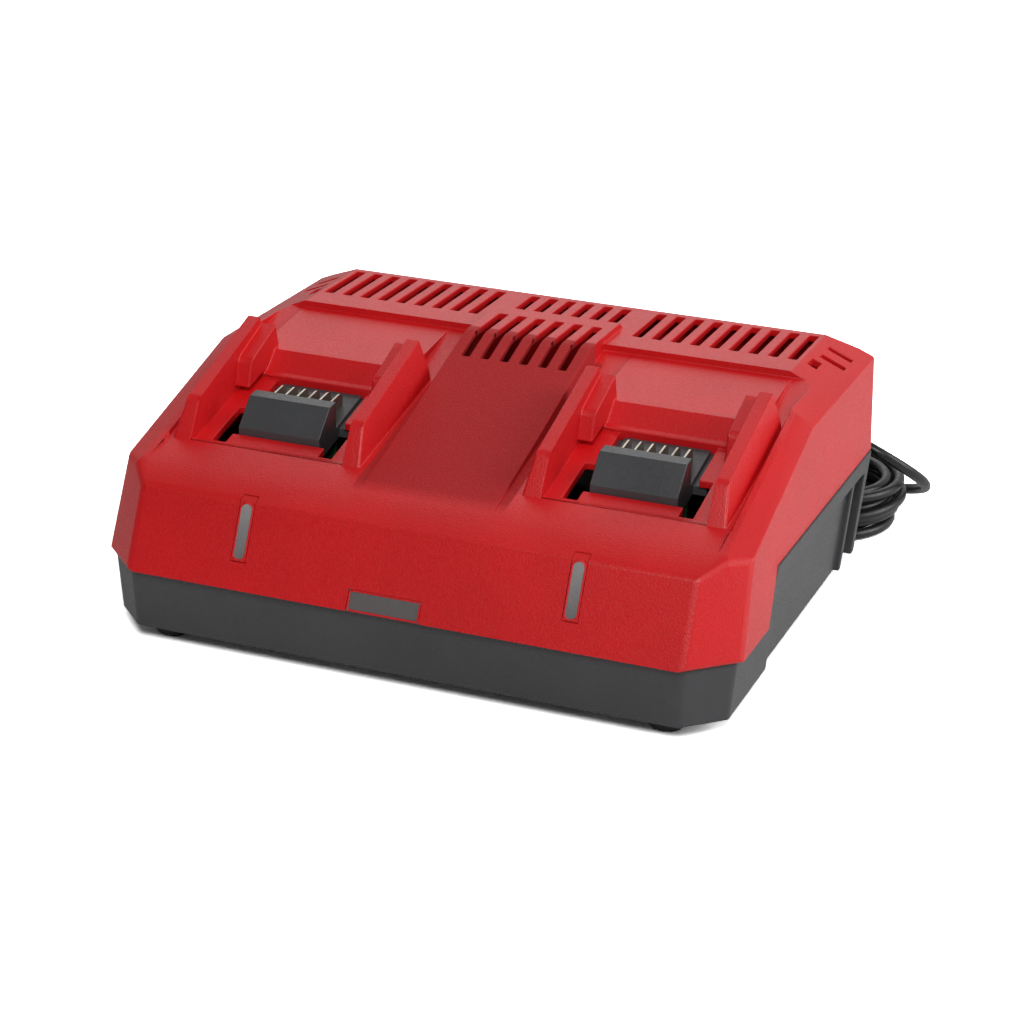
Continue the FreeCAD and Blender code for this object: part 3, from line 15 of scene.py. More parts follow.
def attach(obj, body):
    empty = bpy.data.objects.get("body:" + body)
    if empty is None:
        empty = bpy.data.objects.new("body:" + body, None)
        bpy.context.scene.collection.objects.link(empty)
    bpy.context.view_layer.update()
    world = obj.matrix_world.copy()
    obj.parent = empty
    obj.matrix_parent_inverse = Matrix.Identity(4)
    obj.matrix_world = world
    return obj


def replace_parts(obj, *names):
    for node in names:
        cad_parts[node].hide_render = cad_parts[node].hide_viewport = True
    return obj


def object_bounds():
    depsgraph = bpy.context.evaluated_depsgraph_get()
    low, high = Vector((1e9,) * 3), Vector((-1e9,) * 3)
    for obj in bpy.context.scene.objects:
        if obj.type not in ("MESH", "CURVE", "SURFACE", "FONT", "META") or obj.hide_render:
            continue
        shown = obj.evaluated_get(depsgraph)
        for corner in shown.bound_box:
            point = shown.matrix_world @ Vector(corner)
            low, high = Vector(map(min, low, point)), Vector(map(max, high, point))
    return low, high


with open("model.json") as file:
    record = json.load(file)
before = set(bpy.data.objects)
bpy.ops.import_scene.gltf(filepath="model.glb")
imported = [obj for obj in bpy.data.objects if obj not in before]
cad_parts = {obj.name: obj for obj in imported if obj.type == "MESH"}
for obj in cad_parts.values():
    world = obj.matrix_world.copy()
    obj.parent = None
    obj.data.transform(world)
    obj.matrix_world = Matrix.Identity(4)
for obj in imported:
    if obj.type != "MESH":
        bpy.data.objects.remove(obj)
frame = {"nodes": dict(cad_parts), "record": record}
cad_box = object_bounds()
record = frame["record"]
nodes = frame["nodes"]
MM = 0.001

# %% [markdown]
# ## The camera
# The picture was taken from the front, a little to the right and above, with a long lens. A camera is a position, three
# axes and a focal length, so it can be written out. The slight roll and shift belong to how the picture was cropped.

# %% Camera
IMAGE = 1024.0          # pixels along each side
AZIMUTH = math.radians(20.44)
ELEVATION = math.radians(21.24)
ROLL = math.radians(1.86)
DISTANCE = 1.1577
FOCAL = 2723.9          # pixels
CENTRE = (515.3, 507.7)  # where the lens axis meets the picture
TARGET = Vector((0.00732, 0.0, 0.04152))


def add_camera():
    out = Vector((
        math.sin(AZIMUTH) * math.cos(ELEVATION), -math.cos(AZIMUTH) * math.cos(ELEVATION), math.sin(ELEVATION),
    ))
    across = Vector((math.cos(AZIMUTH), math.sin(AZIMUTH), 0.0))
    up = out.cross(across)
    right = across * math.cos(ROLL) + up * math.sin(ROLL)
    above = up * math.cos(ROLL) - across * math.sin(ROLL)
    data = bpy.data.cameras.new("camera")
    data.sensor_width = 36.0
    data.lens = FOCAL / IMAGE * data.sensor_width
    data.shift_x = (IMAGE / 2 - CENTRE[0]) / IMAGE
    data.shift_y = (CENTRE[1] - IMAGE / 2) / IMAGE
    camera = bpy.data.objects.new("camera", data)
    place = Matrix.Identity(4)
    for column, axis in enumerate((right, above, out)):
        for row in range(3):
            place[row][column] = axis[row]
    place.translation = TARGET + out * DISTANCE
    camera.matrix_world = place
    bpy.context.scene.collection.objects.link(camera)
    bpy.context.scene.camera = camera
    return camera


camera = add_camera()
print("lens", round(camera.data.lens, 1), "mm")

# %% [markdown]
# ## Shader maths as Python
# A node tree is easier to read as an expression. The class below wraps an output socket: `mask * 0.5 + 0.2` adds the
# two Math nodes, and `tree.node(...)` adds any other kind. Geometry trees use it too.


# %% Sockets with operators
class Value:
    """A shader output that can be used in sums."""

    def __init__(self, paint, socket):
        self.paint = paint
        self.socket = socket

    def _math(self, kind, a, b):
        return self.paint.node("ShaderNodeMath", {"operation": kind}, {0: a, 1: b})

    def __add__(self, other):
        return self._math("ADD", self, other)

    def __sub__(self, other):
        return self._math("SUBTRACT", self, other)

    def __mul__(self, other):
        return self._math("MULTIPLY", self, other)

    __radd__ = __add__
    __rmul__ = __mul__


class Tree:
    """A node tree under construction."""

    def __init__(self, tree):
        self.tree = tree

    def node(self, kind, settings=None, inputs=None, output=0):
        made = self.tree.nodes.new(kind)
        for name, value in (settings or {}).items():
            setattr(made, name, value)
        for name, value in (inputs or {}).items():
            self.feed(made.inputs[name], value)
        return Value(self, made.outputs[output])

    def feed(self, socket, value):
        if isinstance(value, Value):
            self.tree.links.new(value.socket, socket)
        else:
            socket.default_value = value


class Paint(Tree):
    """One material under construction."""

    def __init__(self, name):
        self.material = bpy.data.materials.new(name)
        self.material.use_nodes = True
        super().__init__(self.material.node_tree)
        self.tree.nodes.clear()

    def place(self, scale=(1.0, 1.0, 1.0)):
        """Object coordinates, stretched by scale."""
        here = self.node("ShaderNodeTexCoord", output="Object")
        return self.node("ShaderNodeMapping", None, {"Vector": here, "Scale": scale})

    def noise(self, where, scale, detail=2.0, rough=0.5):
        names = {"Vector": where, "Scale": scale, "Detail": detail, "Roughness": rough}
        return self.node("ShaderNodeTexNoise", None, names)

    def cells(self, where, scale):
        return self.node("ShaderNodeTexVoronoi", None, {"Vector": where, "Scale": scale}, "Distance")

    def span(self, value, low, high, start=0.0, end=1.0):
        """Stretches low..high to start..end, held at both ends."""
        names = {"Value": value, "From Min": low, "From Max": high, "To Min": start, "To Max": end}
        return self.node("ShaderNodeMapRange", {"clamp": True}, names)

    def blend(self, share, first, second):
        """A colour between two colours."""
        return self.node("ShaderNodeMix", {"data_type": "RGBA"}, {0: share, 6: first, 7: second}, 2)

    def bump(self, height, strength, depth):
        return self.node("ShaderNodeBump", None, {"Height": height, "Strength": strength, "Distance": depth})

    def finish(self, **inputs):
        """The surface itself, with underscores for spaces in socket names."""
        named = {name.replace("_", " "): value for name, value in inputs.items()}
        surface = self.node("ShaderNodeBsdfPrincipled", None, named)
        last = self.tree.nodes.new("ShaderNodeOutputMaterial")
        self.tree.links.new(surface.socket, last.inputs["Surface"])
        return self.material


def rgb(red, green, blue):
    """A colour as a screen shows it, 0 to 255, turned to linear light."""
    def linear(level):
        level /= 255
        return level / 12.92 if level <= 0.04045 else ((level + 0.055) / 1.055) ** 2.4
    return (linear(red), linear(green), linear(blue), 1.0)


# %% [markdown]
# ## Moulded plastic
# Both housings are moulded in textured tools. The grain is a fine leather-like pattern of about half a millimetre that
# breaks up the light. Cells of a Voronoi pattern with a softer noise over them give its height, and the same noise
# changes the gloss a little. Larger, faint patches keep the colour from being dead flat. The strip between the bays has
# a coarser, duller texture: a soft-edged mask from object coordinates picks it out.


# %% Grained plastic
PATCH_SCALE = 22.0      # large faint patches, to a metre
FINE_SCALE = 900.0
CELL_SHARE, FINE_SHARE = 0.6, 0.5
GRAIN_DEPTH = 0.2 * MM
COARSE_SHADE = 0.72     # the coarse texture's colour against the plain one's
COARSE_ROUGH = 0.3
COARSE_SHARE = 0.8
SOFT = 0.6 * MM         # width over which the coarse texture fades out
SOFT_FRONT = 12 * SOFT  # the same at its front end
STRIP = ((-33.0 * MM, 33.0 * MM), (-82.0 * MM, 34.0 * MM))


def within(paint, here, area):
    """1 inside a box seen from above, 0 outside, with soft edges."""
    (x_low, x_high), (y_low, y_high) = area
    x = paint.node("ShaderNodeSeparateXYZ", None, {"Vector": here}, "X")
    y = paint.node("ShaderNodeSeparateXYZ", None, {"Vector": here}, "Y")
    inside = paint.span(x, x_low, x_low + SOFT) * paint.span(x, x_high, x_high - SOFT)
    return inside * paint.span(y, y_low, y_low + SOFT_FRONT) * paint.span(y, y_high, y_high - SOFT)


def grained_plastic(name, colour, deep, gloss, grain, strength, coarse=None):
    """A moulded plastic; coarse is an area, in metres, with a coarser, duller texture of deeper colour."""
    paint = Paint(name)
    here = paint.place()
    patches = paint.noise(here, PATCH_SCALE, 3.0)
    fine = paint.noise(here, FINE_SCALE, 2.0, 0.6)
    cells = paint.cells(here, grain)
    height = cells * CELL_SHARE + fine * FINE_SHARE
    tint = paint.blend(paint.span(patches, 0.35, 0.65), colour, deep)
    rough = paint.span(fine, 0.3, 0.7, gloss - 0.05, gloss + 0.07)
    if coarse:
        inside = within(paint, here, coarse)
        shade = tuple(level * COARSE_SHADE for level in deep[:3]) + (1.0,)
        tint = paint.blend(inside, tint, shade)
        rough = rough + inside * COARSE_ROUGH
        height = height + inside * cells * COARSE_SHARE
    return paint.finish(Base_Color=tint, Roughness=rough, Normal=paint.bump(height, strength, GRAIN_DEPTH))


RED = rgb(203, 14, 20)
RED_DEEP = rgb(194, 11, 17)
red_shell = grained_plastic("red_shell", RED, RED_DEEP, gloss=0.42, grain=1500.0, strength=0.55, coarse=STRIP)
dark_base = grained_plastic(
    "dark_base", rgb(62, 62, 64), rgb(56, 56, 58), gloss=0.48, grain=1300.0, strength=0.6,
)
terminal_plastic = grained_plastic(
    "terminal_plastic", rgb(66, 67, 69), rgb(58, 59, 61), gloss=0.38, grain=1800.0, strength=0.3,
)
fan_plastic = grained_plastic(
    "fan_plastic", rgb(34, 34, 36), rgb(28, 28, 30), gloss=0.45, grain=1600.0, strength=0.3,
)
relay_case = grained_plastic(
    "relay_case", rgb(40, 62, 110), rgb(34, 54, 98), gloss=0.4, grain=1600.0, strength=0.2,
)
print("plastics:", [m.name for m in (red_shell, dark_base, terminal_plastic, fan_plastic, relay_case)])

# %% [markdown]
# ## Metal, rubber, lenses and the boards inside
# The contact blades are tinned strip: metal with faint lines along the rolling direction. Rubber is nearly black with a
# worn, uneven gloss. The lenses are smoke-grey clear plastic; their colour is painted lighter towards the top, a
# painted highlight where the light pipe bends over the edge to face up. The boards show only through the slots, so they
# get quiet colours and a fine weave.


# %% Other finishes
def streaked_metal(name, colour, rough, along):
    paint = Paint(name)
    lines = paint.noise(paint.place(along), 400.0, 3.0)
    return paint.finish(
        Base_Color=paint.blend(paint.span(lines, 0.3, 0.7), colour, tuple(c * 0.8 for c in colour[:3]) + (1.0,)),
        Metallic=1.0,
        Roughness=paint.span(lines, 0.3, 0.7, rough - 0.08, rough + 0.1),
        Normal=paint.bump(lines, 0.2, 0.04 * MM),
    )


def rubber(name, colour, rough, grain):
    paint = Paint(name)
    here = paint.place()
    grit = paint.noise(here, grain, 3.0)
    return paint.finish(
        Base_Color=paint.blend(paint.span(grit, 0.3, 0.7), colour, tuple(c * 1.5 for c in colour[:3]) + (1.0,)),
        Roughness=paint.span(grit, 0.3, 0.7, rough - 0.06, rough + 0.1),
        Normal=paint.bump(grit, 0.3, 0.05 * MM),
    )


def smoke_lens():
    paint = Paint("clear_lens")
    here = paint.node("ShaderNodeTexCoord", output="Object")
    height = paint.node("ShaderNodeSeparateXYZ", None, {"Vector": here}, "Z")
    haze = paint.noise(here, 260.0, 2.0)
    # Painted highlight: the lens colour grows lighter with height, towards the upward-facing bend of the pipe.
    share = paint.span(height + haze * (4.0 * MM), 40.0 * MM, 70.0 * MM)
    return paint.finish(
        Base_Color=paint.blend(share, rgb(112, 108, 108), rgb(168, 166, 166)),
        Roughness=paint.span(haze, 0.3, 0.7, 0.14, 0.26),
        Coat_Weight=0.4,
        Transmission_Weight=0.25,
        IOR=1.49,
    )


def circuit_board():
    paint = Paint("circuit_board")
    here = paint.place()
    weave = paint.cells(here, 700.0)
    tracks = paint.noise(paint.place((1.0, 0.15, 1.0)), 160.0, 1.0)
    return paint.finish(
        Base_Color=paint.blend(paint.span(tracks, 0.48, 0.52), rgb(22, 84, 48), rgb(34, 108, 62)),
        Roughness=paint.span(weave, 0.0, 0.6, 0.3, 0.45),
        Normal=paint.bump(weave, 0.15, 0.05 * MM),
    )


finishes = {
    "red_shell": red_shell,
    "dark_base": dark_base,
    "terminal_plastic": terminal_plastic,
    "fan_plastic": fan_plastic,
    "relay_case": relay_case,
    "contact_metal": streaked_metal("contact_metal", rgb(196, 188, 172), rough=0.34, along=(1.0, 0.2, 1.0)),
    "heat_sink": streaked_metal("heat_sink", rgb(190, 192, 194), rough=0.4, along=(1.0, 1.0, 0.1)),
    "screw_steel": streaked_metal("screw_steel", rgb(170, 172, 176), rough=0.35, along=(1.0, 1.0, 1.0)),
    "pin_metal": streaked_metal("pin_metal", rgb(205, 200, 188), rough=0.22, along=(0.1, 1.0, 1.0)),
    "core_iron": streaked_metal("core_iron", rgb(92, 88, 86), rough=0.55, along=(1.0, 8.0, 1.0)),
    "clear_lens": smoke_lens(),
    "circuit_board": circuit_board(),
    "rubber_foot": rubber("rubber_foot", rgb(34, 34, 35), rough=0.62, grain=700.0),
    "cord_rubber": rubber("cord_rubber", rgb(12, 12, 13), rough=0.36, grain=350.0),
    "winding_tape": rubber("winding_tape", rgb(190, 150, 60), rough=0.35, grain=500.0),
    "capacitor_sleeve": rubber("capacitor_sleeve", rgb(40, 46, 66), rough=0.3, grain=500.0),
    "lamp_epoxy": rubber("lamp_epoxy", rgb(190, 196, 190), rough=0.25, grain=500.0),
}
slot_of = {part["node"]: part["material_slot"] for part in record["subparts"]}
for name, node in nodes.items():
    node.data.materials.clear()
    node.data.materials.append(finishes[slot_of[name]])
print("finishes:", len(finishes), "on", len(nodes), "nodes")

# %% [markdown]
# ## Soft moulded edges
# No moulded edge is sharp. Most have a radius of about half a millimetre, and the crease over the front and the corners
# are far rounder. One Bevel modifier can do both, because it reads a weight from each edge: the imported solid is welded,
# each sharp edge is given the weight of its radius, and Weighted Normal keeps the large faces flat in the light.

# %% Bevelled skins
WIDEST = 2.6 * MM       # offset of the roundest edge
SHARP = math.radians(20)  # edges that turn by less stay as they are
MERGE = 0.005 * MM
SLIVER = 0.01 * MM


def weld(mesh):
    """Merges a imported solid's loose triangles into one closed surface."""
    work = bmesh.new()
    work.from_mesh(mesh)
    bmesh.ops.remove_doubles(work, verts=work.verts, dist=MERGE)
    bmesh.ops.dissolve_degenerate(work, edges=work.edges, dist=SLIVER)
    work.to_mesh(mesh)
    work.free()


def settle(obj):
    """Turns an object with modifiers into a plain mesh."""
    bpy.context.view_layer.update()
    graph = bpy.context.evaluated_depsgraph_get()
    mesh = bpy.data.meshes.new_from_object(obj.evaluated_get(graph), depsgraph=graph)
    obj.modifiers.clear()
    obj.data = mesh
    return obj


def prism_mesh(name, first, second):
    """A closed prism between two rings of corners."""
    count = len(first)
    faces = [tuple(range(count)), tuple(reversed(range(count, 2 * count)))]
    faces += [(i, count + i, count + (i + 1) % count, (i + 1) % count) for i in range(count)]
    mesh = bpy.data.meshes.new(name)
    mesh.from_pydata(first + second, [], faces)
    work = bmesh.new()
    work.from_mesh(mesh)
    bmesh.ops.recalc_face_normals(work, faces=work.faces)
    work.to_mesh(mesh)
    work.free()
    return mesh


def carve(obj, steps):
    """Adds or cuts closed meshes, one after another."""
    helpers = []
    for kind, mesh in steps:
        tool = bpy.data.objects.new(mesh.name, mesh)
        bpy.context.scene.collection.objects.link(tool)
        helpers.append(tool)
        change = obj.modifiers.new(mesh.name, "BOOLEAN")
        change.operation = kind
        change.object = tool
        change.solver = "EXACT"
    settle(obj)
    for tool in helpers:
        bpy.data.objects.remove(tool)


def weigh_edges(mesh, radius_of):
    """Gives each sharp edge its share of the widest bevel."""
    work = bmesh.new()
    work.from_mesh(mesh)
    bmesh.ops.remove_doubles(work, verts=work.verts, dist=MERGE)
    layer = work.edges.layers.float.new("bevel_weight_edge")
    for edge in work.edges:
        if len(edge.link_faces) == 2 and edge.calc_face_angle(0.0) > SHARP:
            middle = (edge.verts[0].co + edge.verts[1].co) / 2
            edge[layer] = radius_of(middle, [face.normal for face in edge.link_faces]) / WIDEST
    for face in work.faces:
        face.smooth = True
    work.to_mesh(mesh)
    work.free()


def soft_skin(node, radius_of, steps=(), segments=3):
    """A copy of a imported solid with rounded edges, which stands for it."""
    mesh = nodes[node].data.copy()
    weld(mesh)
    skin = bpy.data.objects.new(f"{node}_skin", mesh)
    bpy.context.scene.collection.objects.link(skin)
    if steps:
        carve(skin, steps)
    weigh_edges(skin.data, radius_of)
    bevel = skin.modifiers.new("edges", "BEVEL")
    bevel.width = WIDEST
    bevel.segments = segments
    bevel.limit_method = "WEIGHT"
    bevel.use_clamp_overlap = False
    bevel.miter_outer = "MITER_ARC"
    even = skin.modifiers.new("even", "WEIGHTED_NORMAL")
    even.weight = 100
    settle(skin)
    skin.data.materials.clear()
    skin.data.materials.append(finishes[slot_of[node]])
    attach(skin, "housing")
    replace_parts(skin, node)
    print(skin.name, len(skin.data.polygons), "faces")
    return skin


# %% [markdown]
# ## The red cover
# The crease between the front face and the band above it is round enough to carry a soft highlight, and so are the
# bevelled corners beside it. They are found by the way their two faces point, not by their numbers, so the rule still
# holds when the solid's sizes change. The edges of the three windows stay almost sharp, because a seat or a lens fills
# each of them.


# %% Cover
CREASE = WIDEST         # between the front face and the band
CORNER = 2.0 * MM
EDGE = 0.5 * MM         # every other edge
WINDOW_EDGE = 0.12 * MM
FRONT_DEPTH = 40 * MM   # the bevelled corners lie this near to the front


def faces_front(normal):
    return normal.y < -0.8 and normal.z > 0.2 and abs(normal.x) < 0.1


def faces_band(normal):
    return -0.6 < normal.y < -0.3 and normal.z > 0.7 and abs(normal.x) < 0.1


def faces_corner(normal):
    return normal.y < -0.4 and abs(normal.x) > 0.4


def beside_window(middle):
    """True on the edges of the three windows, where a seat or a lens fills the opening."""
    x, y, z = (value / MM for value in middle)
    pill = 66.0 < abs(x) < 75.5 and y < -92.0 and 41.5 < z < 67.5
    return pill or (-23.0 < x < 11.0 and y < -101.0 and 31.5 < z < 41.5)


def cover_radius(middle, normals):
    if beside_window(middle):
        return WINDOW_EDGE
    if any(map(faces_front, normals)) and any(map(faces_band, normals)):
        return CREASE
    if any(map(faces_corner, normals)) and middle.y < cad_box[0][1] + FRONT_DEPTH:
        return CORNER
    return EDGE


soft_skin("top_cover", cover_radius)

# %% [markdown]
# ## The dark base
# Each side of the base has a sunken panel under a shoulder that follows the seam, and a deep grip in front of the
# rear corner. The solid has them shallow, and here they get their full depth: a lining is added behind the wall first,
# so that the deeper cut doesn't open a hole into the housing.

# %% Base
# All in millimetres.
SEAM_Z = 54.5
BASE_LEAN = math.tan(math.radians(5.0))
SIDE = 136.0            # half the base's width at the seam
CUT_LOW = 5.0           # the cuts run out below the rim
OUTSIDE = -9.0          # the cuts start this far out of the wall
PANEL_DEEP, PANEL_TOP, PANEL_FRONT, PANEL_REAR = 2.4, 46.5, -40.0, 74.0
GRIP_DEEP, GRIP_TOP, GRIP_FRONT, GRIP_REAR = 7.4, 45.5, 77.5, 95.5
LINING_OUT, LINING_IN, LINING_LOW, LINING_TOP = 1.0, 9.4, 8.0, 49.0
LINING_FRONT, LINING_REAR = 74.0, 98.5
BASE_CORNER = 1.6 * MM
RIM_TOP = 9 * MM


def side_at(z, deep):
    """Distance of the leaning side wall from the middle, less a depth."""
    return SIDE - (SEAM_Z - z) * BASE_LEAN - deep


def side_bar(name, side, low, high, outer, inner, front, rear):
    """A bar in one side wall between two depths, parallel to the wall."""
    corners = [
        (side_at(low, inner), low), (side_at(low, outer), low),
        (side_at(high, outer), high), (side_at(high, inner), high),
    ]
    rings = [[Vector((side * x, y, z)) * MM for x, z in corners] for y in (front, rear)]
    return prism_mesh(name, *rings)


def base_steps():
    """The lining, the grip and the panel of both sides, in the order of the work."""
    steps = []
    for side, name in ((1, "right"), (-1, "left")):
        lining = (LINING_LOW, LINING_TOP, LINING_OUT, LINING_IN, LINING_FRONT, LINING_REAR)
        grip = (CUT_LOW, GRIP_TOP, OUTSIDE, GRIP_DEEP, GRIP_FRONT, GRIP_REAR)
        panel = (CUT_LOW, PANEL_TOP, OUTSIDE, PANEL_DEEP, PANEL_FRONT, PANEL_REAR)
        steps += [
            ("UNION", side_bar(f"grip_lining_{name}", side, *lining)),
            ("DIFFERENCE", side_bar(f"grip_{name}", side, *grip)),
            ("DIFFERENCE", side_bar(f"panel_{name}", side, *panel)),
        ]
    return steps


def base_radius(middle, normals):
    return BASE_CORNER if any(map(faces_corner, normals)) and middle.z > RIM_TOP else EDGE


soft_skin("base_cover", base_radius, base_steps())

# %% [markdown]
# ## The contact carriers
# The carriers are separate mouldings in dark plastic with crisp, slightly softened edges.

# %% Carriers
CARRIER_EDGE = 0.4 * MM
for side in ("right", "left"):
    soft_skin(f"terminal_block_{side}", lambda middle, normals: CARRIER_EDGE)

# %% [markdown]
# ## Rows and rings by Geometry Nodes
# Blades, screws and winding turns repeat, so each is a small node tree: one shape, one set of points, instances that
# are made real, and a material. The sizes are inputs of the tree, set on the modifier by their identifiers.


# %% Recipes
class Recipe(Tree):
    """A Geometry Nodes tree with named sizes."""

    def __init__(self, name, sizes):
        super().__init__(bpy.data.node_groups.new(name, "GeometryNodeTree"))
        self.sizes = sizes
        face = self.tree.interface
        face.new_socket("Geometry", in_out="OUTPUT", socket_type="NodeSocketGeometry")
        self.keys = {}
        for size, value in sizes.items():
            kind = "NodeSocketInt" if isinstance(value, int) else "NodeSocketFloat"
            self.keys[size] = face.new_socket(size, in_out="INPUT", socket_type=kind).identifier
        self.entry = self.tree.nodes.new("NodeGroupInput")

    def size(self, name):
        return Value(self, self.entry.outputs[name])

    def vector(self, x=0.0, y=0.0, z=0.0):
        return self.node("ShaderNodeCombineXYZ", None, {"X": x, "Y": y, "Z": z})

    def join(self, *shapes):
        made = self.tree.nodes.new("GeometryNodeJoinGeometry")
        for shape in shapes:
            self.tree.links.new(shape.socket, made.inputs[0])
        return Value(self, made.outputs[0])

    def rounded(self, width, height, radius, count):
        """A closed rectangle curve with round corners."""
        frame_curve = self.node("GeometryNodeCurvePrimitiveQuadrilateral", None, {"Width": width, "Height": height})
        made = self.tree.nodes.new("GeometryNodeFilletCurve")
        if hasattr(made, "mode"):
            made.mode = "POLY"
        else:
            made.inputs["Mode"].default_value = "Poly"
        self.feed(made.inputs["Curve"], frame_curve)
        self.feed(made.inputs["Count"], count)
        self.feed(made.inputs["Radius"], radius)
        return Value(self, made.outputs[0])

    def row(self):
        """Points along X around the middle, from the tree's count and pitch."""
        start = (self.size("count") - 1.0) * self.size("pitch") * -0.5
        return self.node("GeometryNodeMeshLine", {"mode": "OFFSET"}, {
            "Count": self.size("count"), "Offset": self.vector(self.size("pitch")),
            "Start Location": self.vector(start),
        })

    def move(self, shape, shift, turn=(0.0, 0.0, 0.0)):
        return self.node("GeometryNodeTransform", None, {"Geometry": shape, "Translation": shift, "Rotation": turn})

    def close(self, points, shape, turn, shift, material):
        """Instances on points, made real, moved and painted."""
        names = {"Points": points, "Instance": shape, "Rotation": turn}
        many = self.node("GeometryNodeInstanceOnPoints", None, names)
        real = self.node("GeometryNodeRealizeInstances", None, {"Geometry": self.move(many, shift)})
        done = self.node("GeometryNodeSetMaterial", None, {"Geometry": real, "Material": material})
        last = self.tree.nodes.new("NodeGroupOutput")
        self.tree.links.new(done.socket, last.inputs[0])

    def make(self, name, node, **changes):
        """Runs the tree, rides the plain mesh on the housing and hides the solid it stands for."""
        mesh = bpy.data.meshes.new(name)
        piece = bpy.data.objects.new(name, mesh)
        bpy.context.scene.collection.objects.link(piece)
        change = piece.modifiers.new("recipe", "NODES")
        change.node_group = self.tree
        for size, value in {**self.sizes, **changes}.items():
            change[self.keys[size]] = value
        settle(piece)
        finish_piece(piece, node)
        return piece


def finish_piece(piece, node):
    piece.data.materials.clear()
    piece.data.materials.append(finishes[slot_of[node]])
    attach(piece, "housing")
    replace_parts(piece, node)
    spots = [vertex.co / MM for vertex in piece.data.vertices]
    low = [round(min(spot[axis] for spot in spots), 1) for axis in range(3)]
    high = [round(max(spot[axis] for spot in spots), 1) for axis in range(3)]
    print(piece.name, len(piece.data.polygons), "faces", low, high)


# %% Contact blades
UPRIGHT = (math.pi / 2, 0.0, math.pi / 2)   # turns a shape drawn flat so that it faces along X
NOSE_STEPS = 6
BAY_X = 77.3 * MM


def blade_recipe():
    sizes = {
        "count": 6, "pitch": 5.2 * MM, "thick": 0.8 * MM, "length": 15.8 * MM, "height": 7.6 * MM,
        "nose": 3.0 * MM, "x": BAY_X, "y": -29.0 * MM, "z": 84.7 * MM, "tilt": math.radians(6.7),
    }
    tree = Recipe("blade_row", sizes)
    side = tree.rounded(tree.size("length"), tree.size("height"), tree.size("nose"), NOSE_STEPS)
    path = tree.node("GeometryNodeCurvePrimitiveLine", None, {
        "Start": tree.vector(z=tree.size("thick") * -0.5), "End": tree.vector(z=tree.size("thick") * 0.5),
    })
    blade = tree.node("GeometryNodeCurveToMesh", None, {"Curve": path, "Profile Curve": side, "Fill Caps": True})
    blade = tree.move(blade, (0.0, 0.0, 0.0), UPRIGHT)
    place = tree.vector(tree.size("x"), tree.size("y"), tree.size("z"))
    tree.close(tree.row(), blade, tree.vector(tree.size("tilt")), place, finishes["contact_metal"])
    return tree


blades = blade_recipe()
blades.make("blades_right", "contact_blades_right")
blades.make("blades_left", "contact_blades_left", x=-BAY_X)


# %% Housing screws
HEAD_SIDES, SHANK_SIDES = 32, 24


def screw_recipe():
    sizes = {
        "wide": 242.0 * MM, "deep": 174.0 * MM, "y": 7.0 * MM, "z": 7.5 * MM, "head": 3.6 * MM,
        "head_height": 2.4 * MM, "shank": 1.9 * MM, "length": 57.0 * MM, "cross": 4.2 * MM, "cross_thick": 0.9 * MM,
    }
    tree = Recipe("cross_screws", sizes)
    size = tree.size
    head = tree.node("GeometryNodeMeshCylinder", None, {
        "Vertices": HEAD_SIDES, "Radius": size("head"), "Depth": size("head_height"),
    })
    head = tree.move(head, tree.vector(z=size("head_height") * 0.5))
    bars = [
        tree.node("GeometryNodeMeshCube", None, {"Size": tree.vector(*spans, size("head_height"))})
        for spans in ((size("cross"), size("cross_thick")), (size("cross_thick"), size("cross")))
    ]
    cut = tree.tree.nodes.new("GeometryNodeMeshBoolean")
    cut.operation = "DIFFERENCE"
    tree.feed(cut.inputs["Mesh 1"], head)
    for bar in bars:
        tree.tree.links.new(bar.socket, cut.inputs["Mesh 2"])
    shank = tree.node("GeometryNodeMeshCylinder", None, {
        "Vertices": SHANK_SIDES, "Radius": size("shank"), "Depth": size("length") - size("head_height"),
    })
    shank = tree.move(shank, tree.vector(z=(size("length") + size("head_height")) * 0.5))
    screw = tree.join(Value(tree, cut.outputs[0]), shank)
    spots = tree.node("GeometryNodeMeshGrid", None, {
        "Size X": size("wide"), "Size Y": size("deep"), "Vertices X": 2, "Vertices Y": 2,
    })
    tree.close(spots, screw, (0.0, 0.0, 0.0), tree.vector(0.0, size("y"), size("z")), finishes["screw_steel"])
    return tree


screw_recipe().make("screws", "housing_screws")


# %% Winding turns
CORNER_STEPS, WIRE_SIDES = 5, 8


def winding_recipe():
    sizes = {
        "count": 28, "wire": 0.6 * MM, "pitch": 1.21 * MM, "wide": 34.6 * MM, "tall": 24.6 * MM,
        "corner": 5.0 * MM, "x": -68.0 * MM, "y": -58.0 * MM, "z": 40.1 * MM,
    }
    tree = Recipe("winding_turns", sizes)
    size = tree.size
    loop = tree.rounded(size("wide"), size("tall"), size("corner"), CORNER_STEPS)
    wire = tree.node("GeometryNodeCurvePrimitiveCircle", None, {"Resolution": WIRE_SIDES, "Radius": size("wire")})
    turn = tree.node("GeometryNodeCurveToMesh", None, {"Curve": loop, "Profile Curve": wire})
    turn = tree.move(turn, (0.0, 0.0, 0.0), UPRIGHT)
    place = tree.vector(size("x"), size("y"), size("z"))
    tree.close(tree.row(), turn, (0.0, 0.0, 0.0), place, finishes["winding_tape"])
    return tree


winding_recipe().make("winding", "transformer_winding")

# %% [markdown]
# ## Rims around the lenses
# Each light pipe ends in a window with round ends and a thin raised rim. A red seat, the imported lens's own shape moved
# nearly flush with the cover, closes the corners of the opening, and a clear pill stands in it. The rim is a closed
# curve with a small round section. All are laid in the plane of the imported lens's front face.


